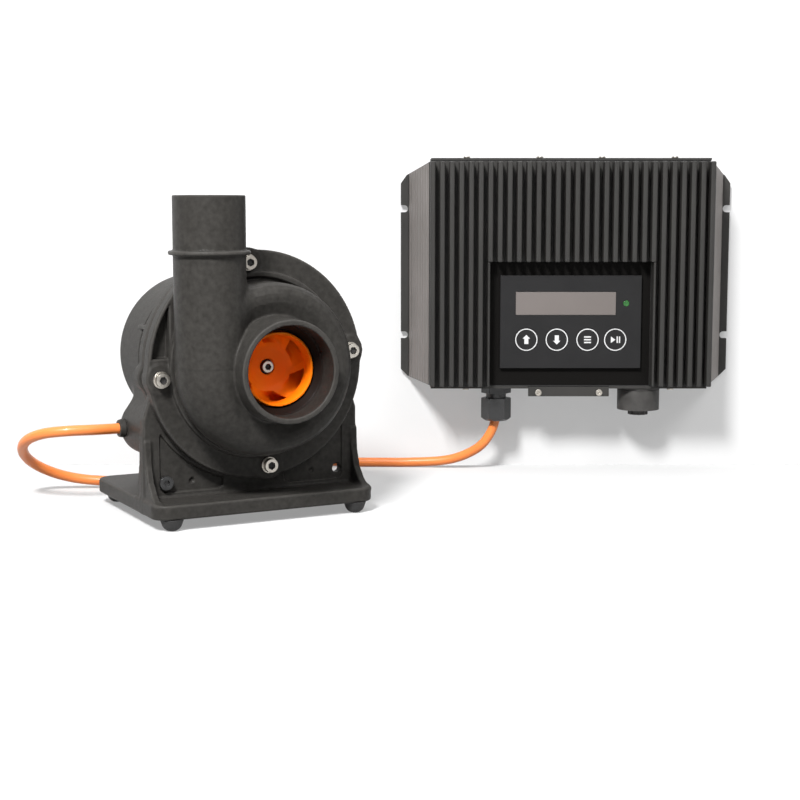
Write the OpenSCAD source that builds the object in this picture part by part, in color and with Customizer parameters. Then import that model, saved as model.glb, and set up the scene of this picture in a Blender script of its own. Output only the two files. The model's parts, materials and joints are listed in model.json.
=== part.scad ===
// Wave maker pump, its wall controller and the lead that joins them.
// Millimetres, +Z up. The pump stands on the floor z = 0 and the controller hangs on the wall y = wall_y.

/* [Layout] */
// foot of the pump's shaft line, left and right
pump_x = -128; // [-200:1:-60]
// foot of the pump's flange face, front and back
pump_y = -82; // [-160:1:-40]
// turn of the pump about the vertical
pump_yaw = 28; // [0:1:45]
// middle of the controller, left and right
ctrl_x = 115; // [90:1:200]
// wall that the controller hangs on
wall_y = 152; // [140:1:220]
// underside of the controller's body above the floor
ctrl_z = 76; // [70:1:160]

/* [Pump casing] */
// shaft height above the floor
axis_h = 112; // [100:1:130]
// flange radius
flange_r = 82; // [78:0.5:90]
// flange thickness
flange_t = 10; // [8:0.5:14]
// radius of the circle of casing screws
screw_circle_r = 73.5; // [70:0.5:76]
// turn of the casing screws about the shaft
screw_turn = 5.7; // [0:0.1:12]
// radius of the screw bosses
boss_r = 10.5; // [9:0.5:12]
// wall of the volute
casing_wall = 3.8; // [3:0.1:5]
// inlet rim in front of the flange face
inlet_reach = 60; // [54:1:70]
// inlet socket radius, for 63 mm pipe
inlet_r = 31.75; // [30:0.05:34]
// inlet socket depth
inlet_depth = 18; // [10:1:20]
// inlet collar radius
collar_r = 36; // [35:0.5:40]
// outlet spigot radius
outlet_r = 25; // [22:0.5:28]
// outlet bore radius
outlet_bore_r = 21.3; // [18:0.1:23]
// how far a tube goes into the outlet before the bore's step
outlet_depth = 75; // [60:1:80]
// outlet line to the left of the shaft
outlet_x = 44; // [40:0.5:48]
// outlet line in front of the flange face
outlet_front = 22; // [20:0.5:26]
// outlet rim above the floor
outlet_top = 232; // [215:1:260]
// stop ring on the outlet above the floor
ring_h = 193; // [185:1:200]

/* [Impeller and rotor] */
// impeller radius
impeller_r = 41; // [36:0.5:42]
// radius of the impeller's eye ring
eye_r = 26; // [24:0.5:26.5]
// number of impeller blades
blades = 6; // [5:1:9]
// blade thickness
blade_t = 2.6; // [2:0.1:3.5]
// turn of the blades about the shaft
blade_turn = -16; // [-50:1:50]
// shaft radius
shaft_r = 6; // [5:0.25:7]
// magnet radius
magnet_r = 22.6; // [20:0.1:23]
// magnet length
magnet_len = 76; // [60:1:80]
// running gap at the bearings
bearing_gap = 0.05; // [0.02:0.01:0.1]

/* [Motor] */
// motor housing radius
motor_r = 60.5; // [59:0.5:64]
// motor rear behind the flange face
motor_back = 134; // [130:1:150]
// motor housing wall
motor_wall = 4; // [3:0.5:5]
// stator core outer radius
stator_r = 50; // [46:0.5:52]
// stator core length
stator_len = 66; // [50:1:70]
// terminal lobe radius
lobe_r = 22; // [18:0.5:24]

/* [Stand] */
// half width of the base plate
base_half_w = 85; // [76:1:90]
// base plate front edge in front of the flange face
base_front = 20; // [18:1:30]
// base plate rear edge behind the flange face
base_back = 121; // [118:1:130]
// base plate thickness
base_t = 10.5; // [8:0.5:14]
// web thickness
web_t = 8; // [6:0.5:10]
// half spacing of the feet across
foot_x = 71; // [66:0.5:72]
// front feet in front of the flange face
foot_front = 12; // [6:0.5:14]
// rear feet behind the flange face
foot_back = 111; // [104:0.5:112]
// foot height
foot_h = 8.5; // [6:0.5:14]
// foot radius at the floor
foot_r = 5.5; // [4.5:0.5:7]

/* [Controller] */
// width over the wall ears
ctrl_w = 281; // [279:1:290]
// width of the body at the wall
body_w = 268; // [258:1:269]
// width of the finned face
fin_w = 233; // [220:1:236]
// height of the body between its end plates
body_h = 185; // [175:1:210]
// depth from the wall to the fin tips
body_d = 64; // [60:0.5:72]
// fin height
fin_h = 14; // [10:0.5:16]
// number of fins
fins = 30; // [20:1:32]
// fin thickness
fin_t = 4.2; // [3.5:0.1:5.2]
// body wall
body_wall = 3.5; // [3:0.1:4.5]
// spacing of the wall slots across
slot_dx = 275; // [275:0.5:277]
// spacing of the wall slots up and down
slot_dz = 108; // [80:1:120]
// radius of the wall slots
slot_r = 3; // [2.5:0.1:3.5]
// end plate thickness
plate_t = 2; // [1.5:0.1:3]
// end plate gasket thickness
gasket_t = 1; // [0.6:0.1:1.5]

/* [Keypad] */
// keypad recess width
recess_w = 134; // [126:1:140]
// keypad recess height
recess_h = 103; // [98:1:110]
// keypad panel width
panel_w = 117; // [112:0.5:120]
// keypad panel height
panel_h = 77; // [74:0.5:80]
// keypad panel thickness
panel_t = 4; // [3.6:0.1:5]
// key radius
key_r = 9.5; // [7:0.1:9.8]
// key travel
key_travel = 0.6; // [0.3:0.1:0.8]
// gap round a key
key_gap = 0.2; // [0.15:0.05:0.4]
// display window width
window_w = 83; // [70:0.5:86]
// display window height
window_h = 19; // [14:0.5:22]
// status lamp radius
lamp_r = 2.5; // [1.5:0.1:3]

/* [Fittings] */
// gland across its flats
gland_af = 22; // [20:0.5:26]
// gland end below the end plate
gland_len = 29; // [26:0.5:36]
// cap radius
cap_r = 17.7; // [17:0.1:20]
// cap height
cap_h = 17; // [15:0.5:22]
// lead diameter
lead_d = 8; // [6:0.1:9]
// width of the service cover
cover_w = 67.5; // [62:0.5:72]

/* [Hidden] */
$fn = 64;
eps = 0.05;
// named clearances
screw_gap = 0.05;
slip = 0.1;
hole_slack = 0.3;
// distances along the shaft, forward of the flange face
web_z = -flange_t - web_t;
motor_flange_t = 8;
motor_z = web_z - motor_flange_t;
can_r = magnet_r + 1.6;
can_wall = 1.5;
can_flange_r = 62;
chamber_r = impeller_r + 4;
spigot_r = 47.5;
throat_r = 50;
// raised ring on the flange, and the drum inside it with its dished front
rim_r = 67;
rim_h = 3;
drum_r = 60;
drum_top = 36.5;
drum_dish = 4.5;
// seal between the casing and the rotor can
seal_r = 55;
seal_thick_r = 1.45;
imp_back = 7;
imp_hub_top = 12.5;
imp_eye_top = 38;
nose_r = 4;
nose_top = 10;
magnet_front = -30;
magnet_back = magnet_front - magnet_len;
shaft_back = magnet_back - 8;
can_back = shaft_back - 4;
bearing_r = 11;
bearing_len = 13;
// narrowing of the outlet's bore below the tube that goes into it
outlet_step = 0.7;
// volute, from its tongue clockwise to the outlet
vol_start = 75;
vol_end = -183;
vol_start_line = 50;
vol_start_front = 8;
vol_start_r = 9;
vol_growth = 1.6;
vol_steps = 24;
vol_sides = 12;
// screws
m6_r = 3;
m6_head_r = 5;
m6_head_h = 4.2;
m6_socket = 2.4;
washer_r = 6;
washer_t = 1.6;
m4_r = 2;
m3_r = 1.5;
m3_head_r = 2.75;
// stand
base_z = foot_h;
foot_stud_r = 3.5;
base_top = base_z + base_t;
web_half_w = base_half_w - 2;
web_shoulder = 36;
web_hole_x = 67.5;
web_hole_h = 30;
web_hole_r = 3.3;
dimple_x = 47;
// controller depths, from the wall forward
front_d = body_d - fin_h;
side_d = 6;
ear_t = 5;
recess_cut = 1;
floor_d = front_d - recess_cut;
panel_x = 0.6;
panel_z = 14.6;
panel_front = floor_d + panel_t;
key_z = 38.4;
key_x = [-36.1, -10.8, 14.8, 37.8];
window_x = -3.6;
window_z = 68.5;
lamp_x = 46.5;
board_d = front_d - 12;
port_x = [-86, -25.7, 25.7, 86];
low_port_x = [port_x[0], port_x[3]];
port_d = front_d - 6;
port_r = 4.5;
port_len = 14;
board_low = 17;
// row of large parts on the power board
bank_drop = 46;
capacitor_x = [-66, -34, -2];
capacitor_r = 11;
choke_x = 62;
choke_r = 16;
choke_wire_r = 7;
low_z = -gasket_t - plate_t;
gland_x = -59.5;
gland_d = 30;
inlet_x = 61.3;
cap_turn = 60;
lead_r = lead_d / 2;
lug_r = 16.4;

// the pump's own place: x right, y back from the flange face, z up
module at_pump() {
    translate([pump_x, pump_y, 0]) rotate([0, 0, pump_yaw]) children();
}

// on the shaft: x right, y up, z forward of the flange face
module on_shaft() {
    at_pump() translate([0, 0, axis_h]) rotate([90, 0, 0]) children();
}

// the controller's own place: z = 0 at the body's underside, depths measured forward of the wall
module at_ctrl() {
    translate([ctrl_x, wall_y, ctrl_z]) children();
}

// a box between two corners
module span(a, b) {
    translate(a) cube(b - a);
}

// a cylinder from z0 to z1
module rod(r, z0, z1) {
    translate([0, 0, z0]) cylinder(r = r, h = z1 - z0);
}

// a hexagonal prism from z0 to z1, with a flat to the front
module hex_rod(af, z0, z1) {
    w = af / sqrt(3);
    translate([0, 0, z0]) linear_extrude(z1 - z0)
        polygon([for (i = [0:5]) [w * cos(60 * i), w * sin(60 * i)]]);
}

// a cylinder that points forward, from depth d0 to depth d1 off the wall
module peg(r, d0, d1) {
    rotate([90, 0, 0]) rod(r, d0, d1);
}

module rounded_plate(x0, x1, y0, y1, r, t) {
    linear_extrude(t) union() {
        translate([x0 + r, y0]) square([x1 - x0 - 2 * r, y1 - y0]);
        translate([x0, y0 + r]) square([x1 - x0, y1 - y0 - 2 * r]);
        for (x = [x0 + r, x1 - r], y = [y0 + r, y1 - r]) translate([x, y]) circle(r = r);
    }
}

module at_screws() {
    for (i = [0:3]) rotate([0, 0, 90 * i + screw_turn]) translate([screw_circle_r, 0, 0]) children();
}

// tube along a row of points: rings of n corners, ref never lies along the route
function unit(v) = v / norm(v);
function tangent(p, i) = unit(p[min(i + 1, len(p) - 1)] - p[max(i - 1, 0)]);
function ring_at(c, t, ref, r, n) =
    let (u = unit(cross(ref, t)), v = cross(t, u))
    [for (k = [0:n - 1]) c + r * (cos(360 * k / n) * u + sin(360 * k / n) * v)];
function side_faces(m, n) = [for (i = [0:m - 2], k = [0:n - 1], h = [0, 1])
    h == 0 ? [i * n + k, i * n + (k + 1) % n, (i + 1) * n + (k + 1) % n]
    : [i * n + k, (i + 1) * n + (k + 1) % n, (i + 1) * n + k]];
function tube_faces(m, n) = concat(side_faces(m, n),
    [[for (k = [n - 1:-1:0]) k]], [[for (k = [0:n - 1]) (m - 1) * n + k]]);
function flipped(faces) = [for (f = faces) [for (k = [len(f) - 1:-1:0]) f[k]]];

module tube(p, r, n, ref) {
    points = [for (i = [0:len(p) - 1]) each ring_at(p[i], tangent(p, i), ref, r, n)];
    polyhedron(points = points, faces = flipped(tube_faces(len(p), n)), convexity = 10);
}

// smooth route through hand-placed points
function curve_at(a, b, c, d, t) = 0.5 * (2 * b + (c - a) * t + (2 * a - 5 * b + 4 * c - d) * t * t
    + (3 * b - a - 3 * c + d) * t * t * t);
function smooth(p, steps) = concat([for (i = [0:len(p) - 2], s = [0:steps - 1])
    curve_at(p[max(i - 1, 0)], p[i], p[i + 1], p[min(i + 2, len(p) - 1)], s / steps)], [p[len(p) - 1]]);

// the volute's growing passage: less is taken off its radius, and it begins at step first
function between(a, b, share) = a + (b - a) * share;
function vol_share(i) = i / vol_steps;
function vol_angle(i) = between(vol_start, vol_end, vol_share(i));
function vol_line(i) = between(vol_start_line, outlet_x, vol_share(i));
function vol_front(i) = between(vol_start_front, outlet_front, vol_share(i));
function vol_r(i) = between(vol_start_r, outlet_r - hole_slack, pow(vol_share(i), vol_growth));
module volute(less, first = 0) {
    rings = vol_steps + 1 - first;
    points = [for (i = [first:vol_steps]) each
        let (a = vol_angle(i), out = [cos(a), sin(a), 0], r = vol_r(i) - less)
        let (c = vol_line(i) * out + [0, 0, vol_front(i)])
        [for (k = [0:vol_sides - 1]) let (b = 360 * k / vol_sides) c + r * (cos(b) * out + [0, 0, sin(b)])]];
    polyhedron(points = points, faces = flipped(tube_faces(rings, vol_sides)), convexity = 10);
}

module at_outlet() {
    translate([-outlet_x, 0, outlet_front]) rotate([-90, 0, 0]) children();
}

module volute_casing() {
    rim = outlet_top - axis_h;
    color("dimgray") on_shaft() difference() {
        union() {
            rod(flange_r, -flange_t, 0);
            at_screws() rod(boss_r, -flange_t, 0.8);
            rotate_extrude() polygon([[0, -flange_t], [rim_r, -flange_t], [rim_r, rim_h],
                [rim_r - 3.5, rim_h], [rim_r - 4.5, -1], [drum_r, -1], [drum_r, drum_top - 9.5],
                [drum_r - 1.5, drum_top - 5], [drum_r - 5, drum_top - 1.5], [drum_r - 10, drum_top],
                [drum_r - 16, drum_top - 1.5], [collar_r, drum_top - drum_dish],
                [collar_r, inlet_reach - 2.5], [collar_r - 1, inlet_reach], [0, inlet_reach]]);
            volute(0);
            at_outlet() {
                rod(outlet_r, 0, rim);
                rod(outlet_r + 3.3, ring_h - axis_h - 1.5, ring_h - axis_h + 1.5);
            }
        }
        volute(casing_wall, 2);
        at_outlet() {
            rod(outlet_bore_r - outlet_step, -3, rim);
            rod(outlet_bore_r, rim - outlet_depth, rim + 1);
        }
        rod(spigot_r + slip, -flange_t - 1, 6);
        rod(chamber_r, 4, 29);
        rod(throat_r, 4.5, 20);
        rod(eye_r + 1, 28, inlet_reach);
        rod(inlet_r, inlet_reach - inlet_depth, inlet_reach + 1);
        at_screws() rod(m6_r + hole_slack, -flange_t - 1, 2);
    }
}

module casing_seal() {
    color("black") on_shaft() translate([0, 0, -flange_t - 0.3 - 1.5])
        rotate_extrude() translate([seal_r, 0]) circle(r = seal_thick_r, $fn = 24);
}

module casing_screws() {
    color("silver") on_shaft() at_screws() difference() {
        union() {
            rod(washer_r, 0.8, 0.8 + washer_t);
            rod(m6_head_r, 0.8 + washer_t, 0.8 + washer_t + m6_head_h);
            rod(m6_r, motor_z + 2, 1);
        }
        hex_rod(5, 0.8 + washer_t + m6_head_h - m6_socket, 0.8 + washer_t + m6_head_h + 1);
    }
}

// one blade, swept back from the hub to the rim
function blade_r(s) = 19 + (impeller_r - 19.2) * s;
function blade_edge(s, side) =
    let (r = blade_r(s), a = 70 * s + side * blade_t / 2 / r * 57.3 * 1.25)
    [r * cos(a), r * sin(a)];

module impeller() {
    n = 12;
    eye_wall = 2.6;
    rim_low = 20;
    blade_outline = concat([for (i = [0:n]) blade_edge(i / n, 1)], [for (i = [n:-1:0]) blade_edge(i / n, -1)]);
    color("orangered") on_shaft() difference() {
        union() {
            rotate_extrude() polygon([[0, imp_back], [impeller_r, imp_back], [impeller_r, imp_back + 2.2],
                [24, imp_back + 3], [20, imp_hub_top], [0, imp_hub_top]]);
            rotate_extrude() polygon([[impeller_r, rim_low], [impeller_r, rim_low + 2.5], [eye_r + 4, rim_low + 5.6],
                [eye_r, rim_low + 8.4], [eye_r, imp_eye_top], [eye_r - eye_wall, imp_eye_top],
                [eye_r - eye_wall, rim_low + 7.8], [eye_r + 2.5, rim_low + 3.6]]);
            intersection() {
                translate([0, 0, imp_back + 1]) linear_extrude(24)
                    for (b = [0:blades - 1]) rotate(blade_turn + 360 * b / blades) polygon(blade_outline);
                rotate_extrude() polygon([[18, imp_back + 1], [impeller_r, imp_back + 1],
                    [impeller_r, rim_low + 1], [eye_r + 3, rim_low + 4.6], [eye_r - 1, rim_low + 8.2],
                    [18, rim_low + 8.2]]);
            }
        }
        rod(nose_r + screw_gap, imp_back - 1, nose_top + 0.2);
        rod(m3_r + 1 + screw_gap, imp_back, imp_hub_top + 1);
    }
}

module impeller_washer() {
    color("silver") on_shaft() difference() {
        rod(7, imp_hub_top, imp_hub_top + 1.2);
        rod(2.5 + screw_gap, imp_hub_top - 1, imp_hub_top + 2);
    }
}

module impeller_screw() {
    top = imp_hub_top + 1.2;
    color("silver") on_shaft() difference() {
        union() {
            rod(4.25, top, top + 5);
            rod(2.5, nose_top - 15, top + 0.5);
        }
        hex_rod(4, top + 2, top + 6);
    }
}

module shaft() {
    color("lightgray") on_shaft() difference() {
        union() {
            rod(shaft_r, shaft_back, imp_back - 0.2);
            rod(nose_r, 0, nose_top);
        }
        rod(2.5 + screw_gap, nose_top - 16, nose_top + 1);
    }
}

module rotor_magnet() {
    color("darkslategray") on_shaft() difference() {
        rod(magnet_r, magnet_back, magnet_front);
        rod(shaft_r + screw_gap, magnet_back - 1, magnet_front + 1);
    }
}

module sleeve(r, z0, z1) {
    difference() {
        rod(r, z0, z1);
        rod(shaft_r + bearing_gap, z0 - 1, z1 + 1);
    }
}

module front_bearing() {
    color("ivory") on_shaft() sleeve(bearing_r, -bearing_len - 3, -3);
}

module rear_bearing() {
    color("ivory") on_shaft() sleeve(bearing_r - 1, shaft_back - 0.5, magnet_back - 1);
}

module rotor_can() {
    color("slategray") on_shaft() difference() {
        union() {
            rod(can_flange_r, web_z, -flange_t - 0.3);
            rod(spigot_r, -flange_t - 1, 4);
            rod(can_r + can_wall, can_back, web_z + 1);
        }
        rod(can_r, magnet_back - 0.6, -bearing_len - 5);
        rod(bearing_r - 1 + screw_gap, shaft_back - 0.6, magnet_back);
        rod(bearing_r + screw_gap, -bearing_len - 3.1, -3);
        rod(shaft_r + 0.5, -20, 5);
        translate([0, 0, -flange_t - 0.3 - 3]) difference() {
            rod(seal_r + 1.6, 0, 4);
            rod(seal_r - 1.6, -1, 5);
        }
    }
}

module ring(r1, r0, z0, z1) {
    difference() {
        rod(r1, z0, z1);
        rod(r0, z0 - 1, z1 + 1);
    }
}

stator_front = -38;
stator_back = stator_front - stator_len;
winding_len = 11;

module stator_core() {
    color("gray") on_shaft() ring(stator_r, can_r + can_wall + slip, stator_back, stator_front);
}

module stator_windings() {
    color("peru") on_shaft() {
        ring(stator_r - 4, can_r + can_wall + 2, stator_front + eps, stator_front + winding_len);
        ring(stator_r - 4, can_r + can_wall + 2, stator_back - winding_len, stator_back - eps);
    }
}

module potting_resin() {
    bore = motor_r - motor_wall;
    color("darkkhaki") on_shaft() {
        ring(bore - slip, stator_r + slip, stator_back, stator_front);
        difference() {
            rod(bore - slip, -motor_back + motor_wall + eps, stator_back - winding_len - eps);
            rod(can_r + can_wall + slip, can_back - slip, 0);
        }
    }
}

lobe_c = [-46, -54];
lobe_front = -30;
lobe_back = -112;
lobe_left = lobe_r - lobe_c[0];
lead_h = axis_h + lobe_c[1];
lead_y = 100;
bush_r = 6;

// the lead's line into the lobe, pointing left
module at_lead() {
    at_pump() translate([0, lead_y, lead_h]) rotate([0, -90, 0]) children();
}

module motor_housing() {
    bore = motor_r - motor_wall;
    color("dimgray") difference() {
        on_shaft() difference() {
            union() {
                rotate([0, 0, 45 + screw_turn]) rod(flange_r - 2, motor_z, web_z);
                at_screws() rod(boss_r, motor_z - 3, web_z);
                rod(motor_r, 5 - motor_back, motor_z + 1);
                translate([0, 0, -motor_back]) cylinder(r1 = motor_r - 4, r2 = motor_r, h = 5);
                translate([lobe_c[0], lobe_c[1], 0]) rod(lobe_r, lobe_back, lobe_front);
                for (a = [158, 192]) rotate([0, 0, a])
                    span([motor_r - 3, -4, -66], [motor_r + 2.2, 4, -46]);
            }
            rod(bore, motor_wall - motor_back, web_z + 1);
            at_screws() rod(m6_r + screw_gap, motor_z + 1.5, web_z + 1);
            translate([lobe_c[0], lobe_c[1], 0]) rod(lobe_r - 5, lobe_back + 6, lobe_front - 6);
        }
        at_lead() rod(bush_r + screw_gap, lobe_left - 20, lobe_left + 12);
    }
}

module lead_bush() {
    color("black") at_lead() difference() {
        union() {
            rod(bush_r, lobe_left - 6, lobe_left + 1);
            translate([0, 0, lobe_left + eps]) cylinder(r1 = bush_r + 1.4, r2 = bush_r + 0.4, h = 4.5);
        }
        rod(lead_r + screw_gap, lobe_left - 8, lobe_left + 12);
    }
}

module at_feet() {
    at_pump() for (x = [-foot_x, foot_x], y = [-foot_front, foot_back]) translate([x, y, 0]) children();
}

module stand_bracket() {
    low = base_z - axis_h + 1;
    rib_t = 5;
    color("dimgray") difference() {
        union() {
            on_shaft() translate([0, 0, web_z]) linear_extrude(web_t) difference() {
                union() {
                    circle(r = flange_r - 3);
                    polygon([[-web_half_w, low], [web_half_w, low], [web_half_w, -web_shoulder],
                        [web_half_w - 12, 0], [12 - web_half_w, 0], [-web_half_w, -web_shoulder]]);
                }
                circle(r = can_flange_r + 2);
                for (s = [-1, 1]) translate([web_hole_x * s, web_hole_h - axis_h]) circle(r = web_hole_r);
                for (i = [0:3]) rotate(90 * i + screw_turn)
                    translate([screw_circle_r, 0]) circle(r = m6_r + hole_slack);
            }
            at_pump() translate([0, 0, base_z])
                rounded_plate(-base_half_w, base_half_w, -base_front, base_back, 12, base_t);
            for (s = [-1, 1]) at_pump() translate([s * (web_half_w - rib_t / 2), 0, base_top - 0.5])
                rotate([90, 0, 90]) translate([0, 0, -rib_t / 2]) linear_extrude(rib_t)
                    polygon([[-base_front + 6, 0], [28, 0], [-web_z - 1, 44], [flange_t + 1, 34]]);
        }
        at_feet() rod(m4_r + screw_gap, base_z - 1, base_top - 2);
        at_pump() for (s = [-1, 1]) translate([dimple_x * s, flange_t + 1, web_hole_h]) rotate([90, 0, 0]) rod(2, 0, 3);
        at_pump() translate([0, 58, base_z - 1]) rounded_plate(-52, 52, -26, 36, 14, base_t + 2);
    }
}

module stand_screw() {
    color("silver") on_shaft() translate([-web_hole_x, web_hole_h - axis_h, 0]) difference() {
        union() {
            rod(5, -flange_t + eps, -flange_t + 3.2);
            rod(web_hole_r - slip, web_z - 6, -flange_t + 1);
            rotate([0, 0, 30]) hex_rod(10, web_z - 5, web_z - eps);
        }
        hex_rod(4, -flange_t + 1.4, -flange_t + 4);
    }
}

module rubber_feet() {
    color("black") at_feet() difference() {
        cylinder(r1 = foot_r, r2 = foot_r + 3, h = foot_h - eps);
        rod(foot_stud_r + screw_gap, 1 - screw_gap, 3 + screw_gap);
        rod(m4_r + screw_gap, 2, foot_h + 1);
    }
}

module foot_screws() {
    color("silver") at_feet() {
        rod(foot_stud_r, 1, 3);
        rod(m4_r, 2, base_top - 3);
    }
}

// flat outline of the body without its fins
module body_shape() {
    a = body_w / 2;
    b = fin_w / 2;
    polygon([[-a, 0], [a, 0], [a, -side_d], [b, -front_d], [-b, -front_d], [-a, -side_d]]);
}

// flat outline of the part behind the finned face, drawn in by the given amount
module inner_shape(in) {
    translate([in - fin_w / 2, in - front_d]) square([fin_w - 2 * in, front_d - 2 * in]);
}

module heatsink_housing() {
    slot_mid = body_h / 2;
    color("#3c3a39") at_ctrl() difference() {
        union() {
            linear_extrude(body_h) difference() {
                body_shape();
                inner_shape(body_wall);
            }
            for (s = [-1, 1]) translate([s < 0 ? -ctrl_w / 2 : body_w / 2 - 1, -ear_t, 0])
                cube([ctrl_w / 2 - body_w / 2 + 1, ear_t, body_h]);
            for (x = port_x) translate([x, -port_d, 0]) rod(port_r, body_h - port_len, body_h);
            for (x = low_port_x) translate([x, -port_d, 0]) rod(port_r, 0, port_len);
            for (x = [-58, 58], z = [24, 92]) translate([x, 0, z]) peg(3, board_d, front_d - 1);
        }
        span([-recess_w / 2, -body_d - 1, -1], [recess_w / 2, -floor_d, recess_h]);
        span([window_x - window_w / 2 - 1.6, -front_d - 1, window_z - window_h / 2 - 1.6],
            [window_x + window_w / 2 + 1.6, -front_d + body_wall + 1, window_z + window_h / 2 + 1.6]);
        for (s = [-1, 1], z = [-1, 1]) translate([s * slot_dx / 2, 0, slot_mid + z * slot_dz / 2]) {
            peg(slot_r, -1, ear_t + 20);
            translate([s < 0 ? -10 : 0, -ear_t - 20, -slot_r]) cube([10, ear_t + 21, 2 * slot_r]);
        }
        for (x = port_x) translate([x, -port_d, 0]) rod(m3_r + screw_gap, body_h - 10, body_h + 1);
        for (x = low_port_x) translate([x, -port_d, 0]) rod(m3_r + screw_gap, -1, 10);
        for (s = [0, 1]) mirror([s, 0, 0]) translate([0, 1, 0]) rotate([90, 0, 0]) linear_extrude(body_d + 2)
            corner_cuts();
    }
}

// what is cut off the right side's corners, top and bottom, seen from the front
module corner_cuts() {
    far = ctrl_w / 2 + 2;
    polygon([[fin_w / 2, body_h], [far - 7, body_h - 10], [far - 2, body_h - 17], [far, body_h - 20],
        [far, body_h + 2], [fin_w / 2, body_h + 2]]);
    polygon([[fin_w / 2, 0], [far - 8, 3], [far - 2, 9], [far, 12], [far, -2], [fin_w / 2, -2]]);
}

// the fins, each a strip on the front wall; those over the keypad recess end above it
module heatsink_fins() {
    pitch = (fin_w - fin_t) / (fins - 1);
    edge = recess_w / 2;
    color("#4b4946") at_ctrl() for (i = [0:fins - 1]) {
        x = -fin_w / 2 + i * pitch;
        beside = x + fin_t < -edge || x > edge;
        span([x, -body_d, beside ? 0 : recess_h], [x + fin_t, -front_d - eps, body_h]);
        // what stands beside the recess of a fin that its edge cuts
        if (!beside && x < -edge) span([x, -body_d, 0], [-edge, -front_d - eps, recess_h - eps]);
        if (!beside && x + fin_t > edge) span([edge, -body_d, 0], [x + fin_t, -front_d - eps, recess_h - eps]);
    }
}

module gasket(z0, screws_x) {
    translate([0, 0, z0]) linear_extrude(gasket_t - 2 * eps) difference() {
        inner_shape(1.5);
        difference() {
            inner_shape(body_wall + 1);
            for (x = screws_x) translate([x, -port_d]) circle(r = port_r);
        }
        for (x = screws_x) translate([x, -port_d]) circle(r = m3_r + hole_slack);
    }
}

module top_gasket() {
    color("black") at_ctrl() gasket(body_h + eps, port_x);
}

module bottom_gasket() {
    color("black") at_ctrl() gasket(-gasket_t + eps, low_port_x);
}

module plate_shape(screws_x) {
    difference() {
        inner_shape(1);
        for (x = screws_x) translate([x, -port_d]) circle(r = m3_r + hole_slack);
    }
}

module top_plate() {
    color("#3c3a39") at_ctrl() translate([0, 0, body_h + gasket_t]) linear_extrude(plate_t) plate_shape(port_x);
}

cover_half = cover_w / 2;
cover_front = front_d - 0.4;
cover_t = 2.6;
cover_seal_t = 0.8;
block_d = cover_front - cover_t - cover_seal_t;
cover_low = low_z - 6.5;
cover_high = low_z + 1.6;
cover_screw_x = 25.4;

module bottom_plate() {
    color("#3c3a39") at_ctrl() difference() {
        union() {
            translate([0, 0, low_z]) linear_extrude(plate_t) difference() {
                plate_shape(low_port_x);
                translate([gland_x, -gland_d]) circle(r = 8 + hole_slack);
                translate([inlet_x, -gland_d]) circle(r = 10 + hole_slack);
                translate([-cover_half - 0.3, -front_d]) square([cover_w + 0.6, front_d - block_d]);
            }
            span([-cover_half + 2, -block_d, cover_low], [cover_half - 2, -block_d + 18, low_z + 0.5]);
        }
        at_cover_screws() peg(m3_r + screw_gap, block_d - 8, block_d + 1);
    }
}

module at_cover_screws() {
    for (s = [-1, 1]) translate([s * cover_screw_x, 0, (cover_low + low_z) / 2]) children();
}

module service_gasket() {
    color("black") at_ctrl() difference() {
        span([-cover_half + 2, -block_d - cover_seal_t + eps, cover_low],
            [cover_half - 2, -block_d - eps, low_z - 0.2]);
        at_cover_screws() peg(m3_r + hole_slack, block_d - 1, body_d);
    }
}

module service_cover() {
    color("#4a4846") at_ctrl() difference() {
        span([-cover_half, -cover_front, cover_low], [cover_half, -cover_front + cover_t, cover_high]);
        at_cover_screws() peg(m3_r + hole_slack, block_d, body_d);
    }
}

module service_screws() {
    color("silver") at_ctrl() at_cover_screws() difference() {
        union() {
            peg(m3_r, block_d - 7, cover_front + 1);
            peg(m3_head_r, cover_front, cover_front + 1.8);
        }
        rotate([90, 0, 0]) hex_rod(2, cover_front + 0.7, cover_front + 3);
    }
}

module plate_screws() {
    high_z = body_h + gasket_t + plate_t;
    color("silver") at_ctrl() {
        for (x = port_x) translate([x, -port_d, 0]) {
            rod(m3_r, body_h - 9, high_z + 0.5);
            rod(m3_head_r, high_z, high_z + 1.4);
        }
        for (x = low_port_x) translate([x, -port_d, 0]) {
            rod(m3_r, low_z - 0.5, 9);
            rod(m3_head_r, low_z - 1.4, low_z);
        }
    }
}

module keypad_panel() {
    color("#303031") at_ctrl() difference() {
        span([panel_x - panel_w / 2, -panel_front, panel_z],
            [panel_x + panel_w / 2, -floor_d, panel_z + panel_h]);
        for (x = key_x) translate([x, 0, key_z]) {
            peg(key_r + key_gap, floor_d - 1, panel_front + 1);
            peg(key_r + 1.5, floor_d - 1, panel_front - 2);
        }
        span([window_x - window_w / 2 - slip, -panel_front - 1, window_z - window_h / 2 - slip],
            [window_x + window_w / 2 + slip, -floor_d + 1, window_z + window_h / 2 + slip]);
        translate([lamp_x, 0, window_z]) peg(lamp_r + slip, floor_d - 1, panel_front + 1);
    }
}

// a round key with a retaining rim behind the panel
module key(i) {
    color("#2b2b2c") at_ctrl() translate([key_x[i], 0, key_z]) {
        peg(key_r, panel_front - 2.5, panel_front + 0.2);
        peg(key_r + 1.2, panel_front - 2.9, panel_front - 2.1);
    }
}

module key_up() { key(0); }
module key_down() { key(1); }
module key_menu() { key(2); }
module key_run() { key(3); }

module display_window() {
    color("gray") at_ctrl() span([window_x - window_w / 2, -panel_front, window_z - window_h / 2],
        [window_x + window_w / 2, -panel_front + 2, window_z + window_h / 2]);
}

module display_module() {
    color("tan") at_ctrl() span([window_x - window_w / 2, -panel_front + 2.1, window_z - window_h / 2],
        [window_x + window_w / 2, -board_d - eps, window_z + window_h / 2]);
}

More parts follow.
